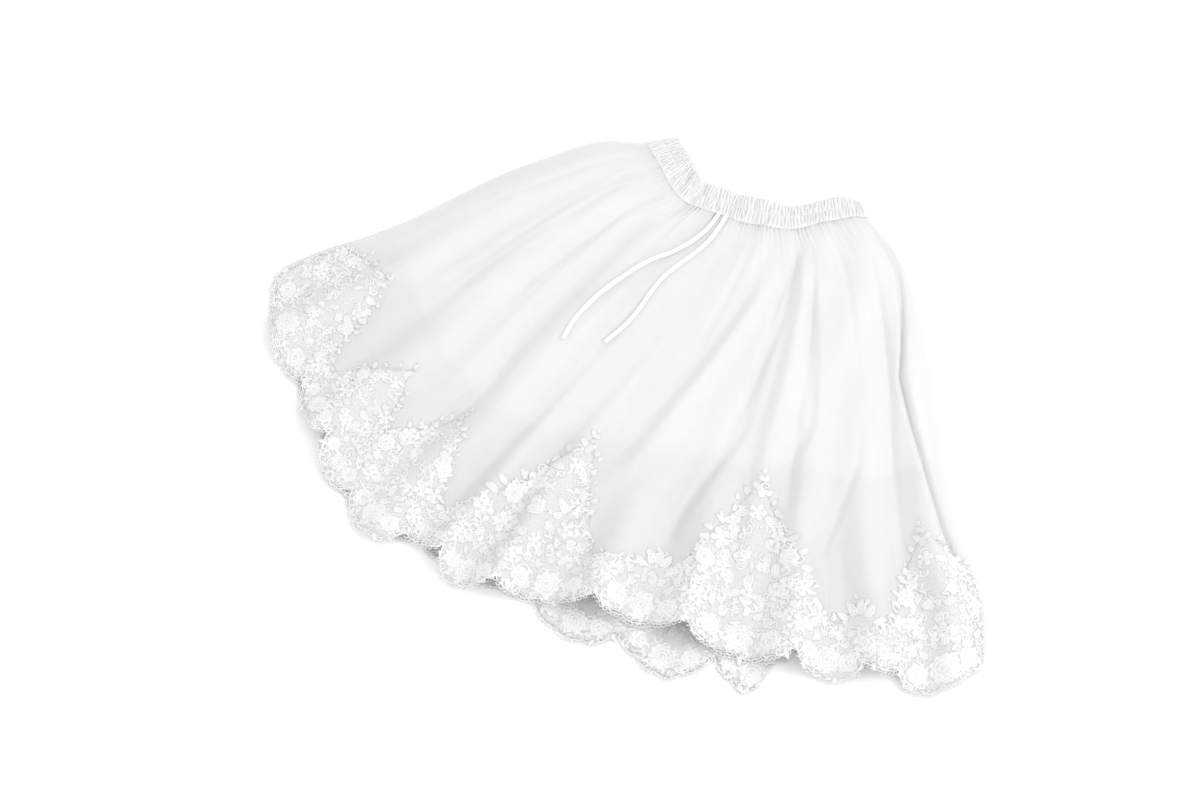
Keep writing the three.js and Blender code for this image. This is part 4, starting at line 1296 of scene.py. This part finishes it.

# %% [markdown]
# The back's border is the same lace, face down on the table under the back panel. Only its
# scallops and lowest motifs are ever seen, so it gets the ground, the edge, the groups and the
# small motifs. Each border is sewn to its panel.

# %% Back lace
BACK_SHARE = 0.5  # of the front border's height
BACK_LEVELS = {"fine": 0.2, "net": 0.5, "cord": 0.8, "motif": 0.9}  # millimetres off the table
BACK_TOP = 52.0
ground_back = net_ground("lace_ground_back", back_cloth, BACK_SHARE, BACK_LEVELS["net"],
                         NET_PITCHES["back"])
drawn_back = group_rows(GROUP, back_cloth)
small_back = filling(drawn_back, back_cloth, lambda u: np.full(np.shape(u), BACK_TOP), 4000)
BACK_PIECES = {
    "lace_roses_back": [row for row in drawn_back if is_rose(row)],
    "lace_leaves_back": [row for row in drawn_back if not is_rose(row)],
    "lace_filling_back": small_back + picots(back_cloth),
}
motifs_back = [lay_motifs(name, rows, back_cloth, BACK_LEVELS["motif"])
               for name, rows in BACK_PIECES.items()]
edge_back = edge_cord("lace_edge_back", back_cloth, 0.6, 0.7, BACK_LEVELS["cord"])
backing_back = border_grid("lace_backing_back", back_cloth, BACK_SHARE, BACK_LEVELS["fine"],
                           NET_PITCHES["fine"])
thicken(backing_back, FINE_WALL)
back_lace = [backing_back, ground_back, *motifs_back, edge_back]
for piece in back_lace:
    join_skirt(piece, "lace", "lace_back")

# %% [markdown]
# The lace is mercerised cotton thread in satin stitch. It is smooth and has a slight lustre, with
# fine ridges of thread side by side across each petal. Raised cords catch the light and look
# whiter than the stitches between them, and that light is painted into the colour: the motifs' own
# height drives the tone, a painted highlight on the cords and painted shade between them. The
# net's twisted threads get the same finish in a flatter tone, with no painted highlight, and the
# fine ground under them is a veil.

# %% Satin-stitched cotton
def satin_stitch(name, colours, pitch, depth):
    """Cotton thread: its low tone (painted shade) and raised tone (painted highlight), thread
    spacing and ridge depth in millimetres.
    """
    material, tree, output = new_material(name)
    place = add_node(tree, "ShaderNodeTexCoord")
    bend = add_node(tree, "ShaderNodeTexNoise", [(place.outputs["Object"], "Vector")], Scale=60.0)
    thread = add_node(tree, "ShaderNodeTexWave", [(place.outputs["Object"], "Vector")],
                      wave_type="BANDS", bands_direction="DIAGONAL",
                      Scale=2 * math.pi / 20 * 1000 / pitch, Distortion=6.0, Detail=1.0)
    height = add_node(tree, "ShaderNodeMath",
                      [(thread.outputs["Fac"], 0), (bend.outputs["Fac"], 1)], operation="ADD")
    bump = add_node(tree, "ShaderNodeBump", [(height.outputs[0], "Height")], Strength=0.3,
                    Distance=depth * MM)
    # painted highlight and shade: the motif's height lightens the tone on raised cords, the low
    # stitches keep the greyer tone, and random mottle is added
    cord = add_node(tree, "ShaderNodeAttribute", attribute_name="raised")
    highlight_and_mottle = add_node(tree, "ShaderNodeMath", [(cord.outputs["Fac"], 0), (bend.outputs["Fac"], 2)],
                     operation="MULTIPLY_ADD")
    highlight_and_mottle.inputs[1].default_value = 0.75
    tone = add_node(tree, "ShaderNodeValToRGB", [(highlight_and_mottle.outputs[0], "Fac")])
    tone.color_ramp.elements[0].position, tone.color_ramp.elements[1].position = 0.35, 1.0
    tone.color_ramp.elements[0].color = linear(colours[0])
    tone.color_ramp.elements[1].color = linear(colours[1])
    shader = add_node(tree, "ShaderNodeBsdfPrincipled",
                      [(tone.outputs["Color"], "Base Color"), (bump.outputs[0], "Normal")],
                      Roughness=0.5, IOR=1.53)
    shader.inputs["Specular IOR Level"].default_value = 0.3
    tree.links.new(shader.outputs[0], output.inputs["Surface"])
    return material


# real thread lies 0.3 to 0.4 mm apart, which is too fine to show, so it is drawn at 1.3 mm
# the grey low tone is painted shade between the cords, the whiter raised tone a painted highlight
# on them
satin_cotton = satin_stitch("satin_stitched_cotton", ("#cbd0ce", "#e4e7e6"), 1.3, 0.25)
net_cotton = satin_stitch("twisted_cotton_net", ("#e4e5e5", "#eeefee"), 1.3, 0.1)
fine_ground = veil("fine_cotton_ground", "#e4e8e6", 0.85, 1.6, 0.05, 0.05)
for piece in (backing, backing_back):
    piece.data.materials.append(fine_ground)
for piece in (*lace_motifs, *motifs_back):
    piece.data.materials.append(satin_cotton)
for piece in (*grounds, ground_back, edge_front, edge_inner, edge_back):
    piece.data.materials.append(net_cotton)
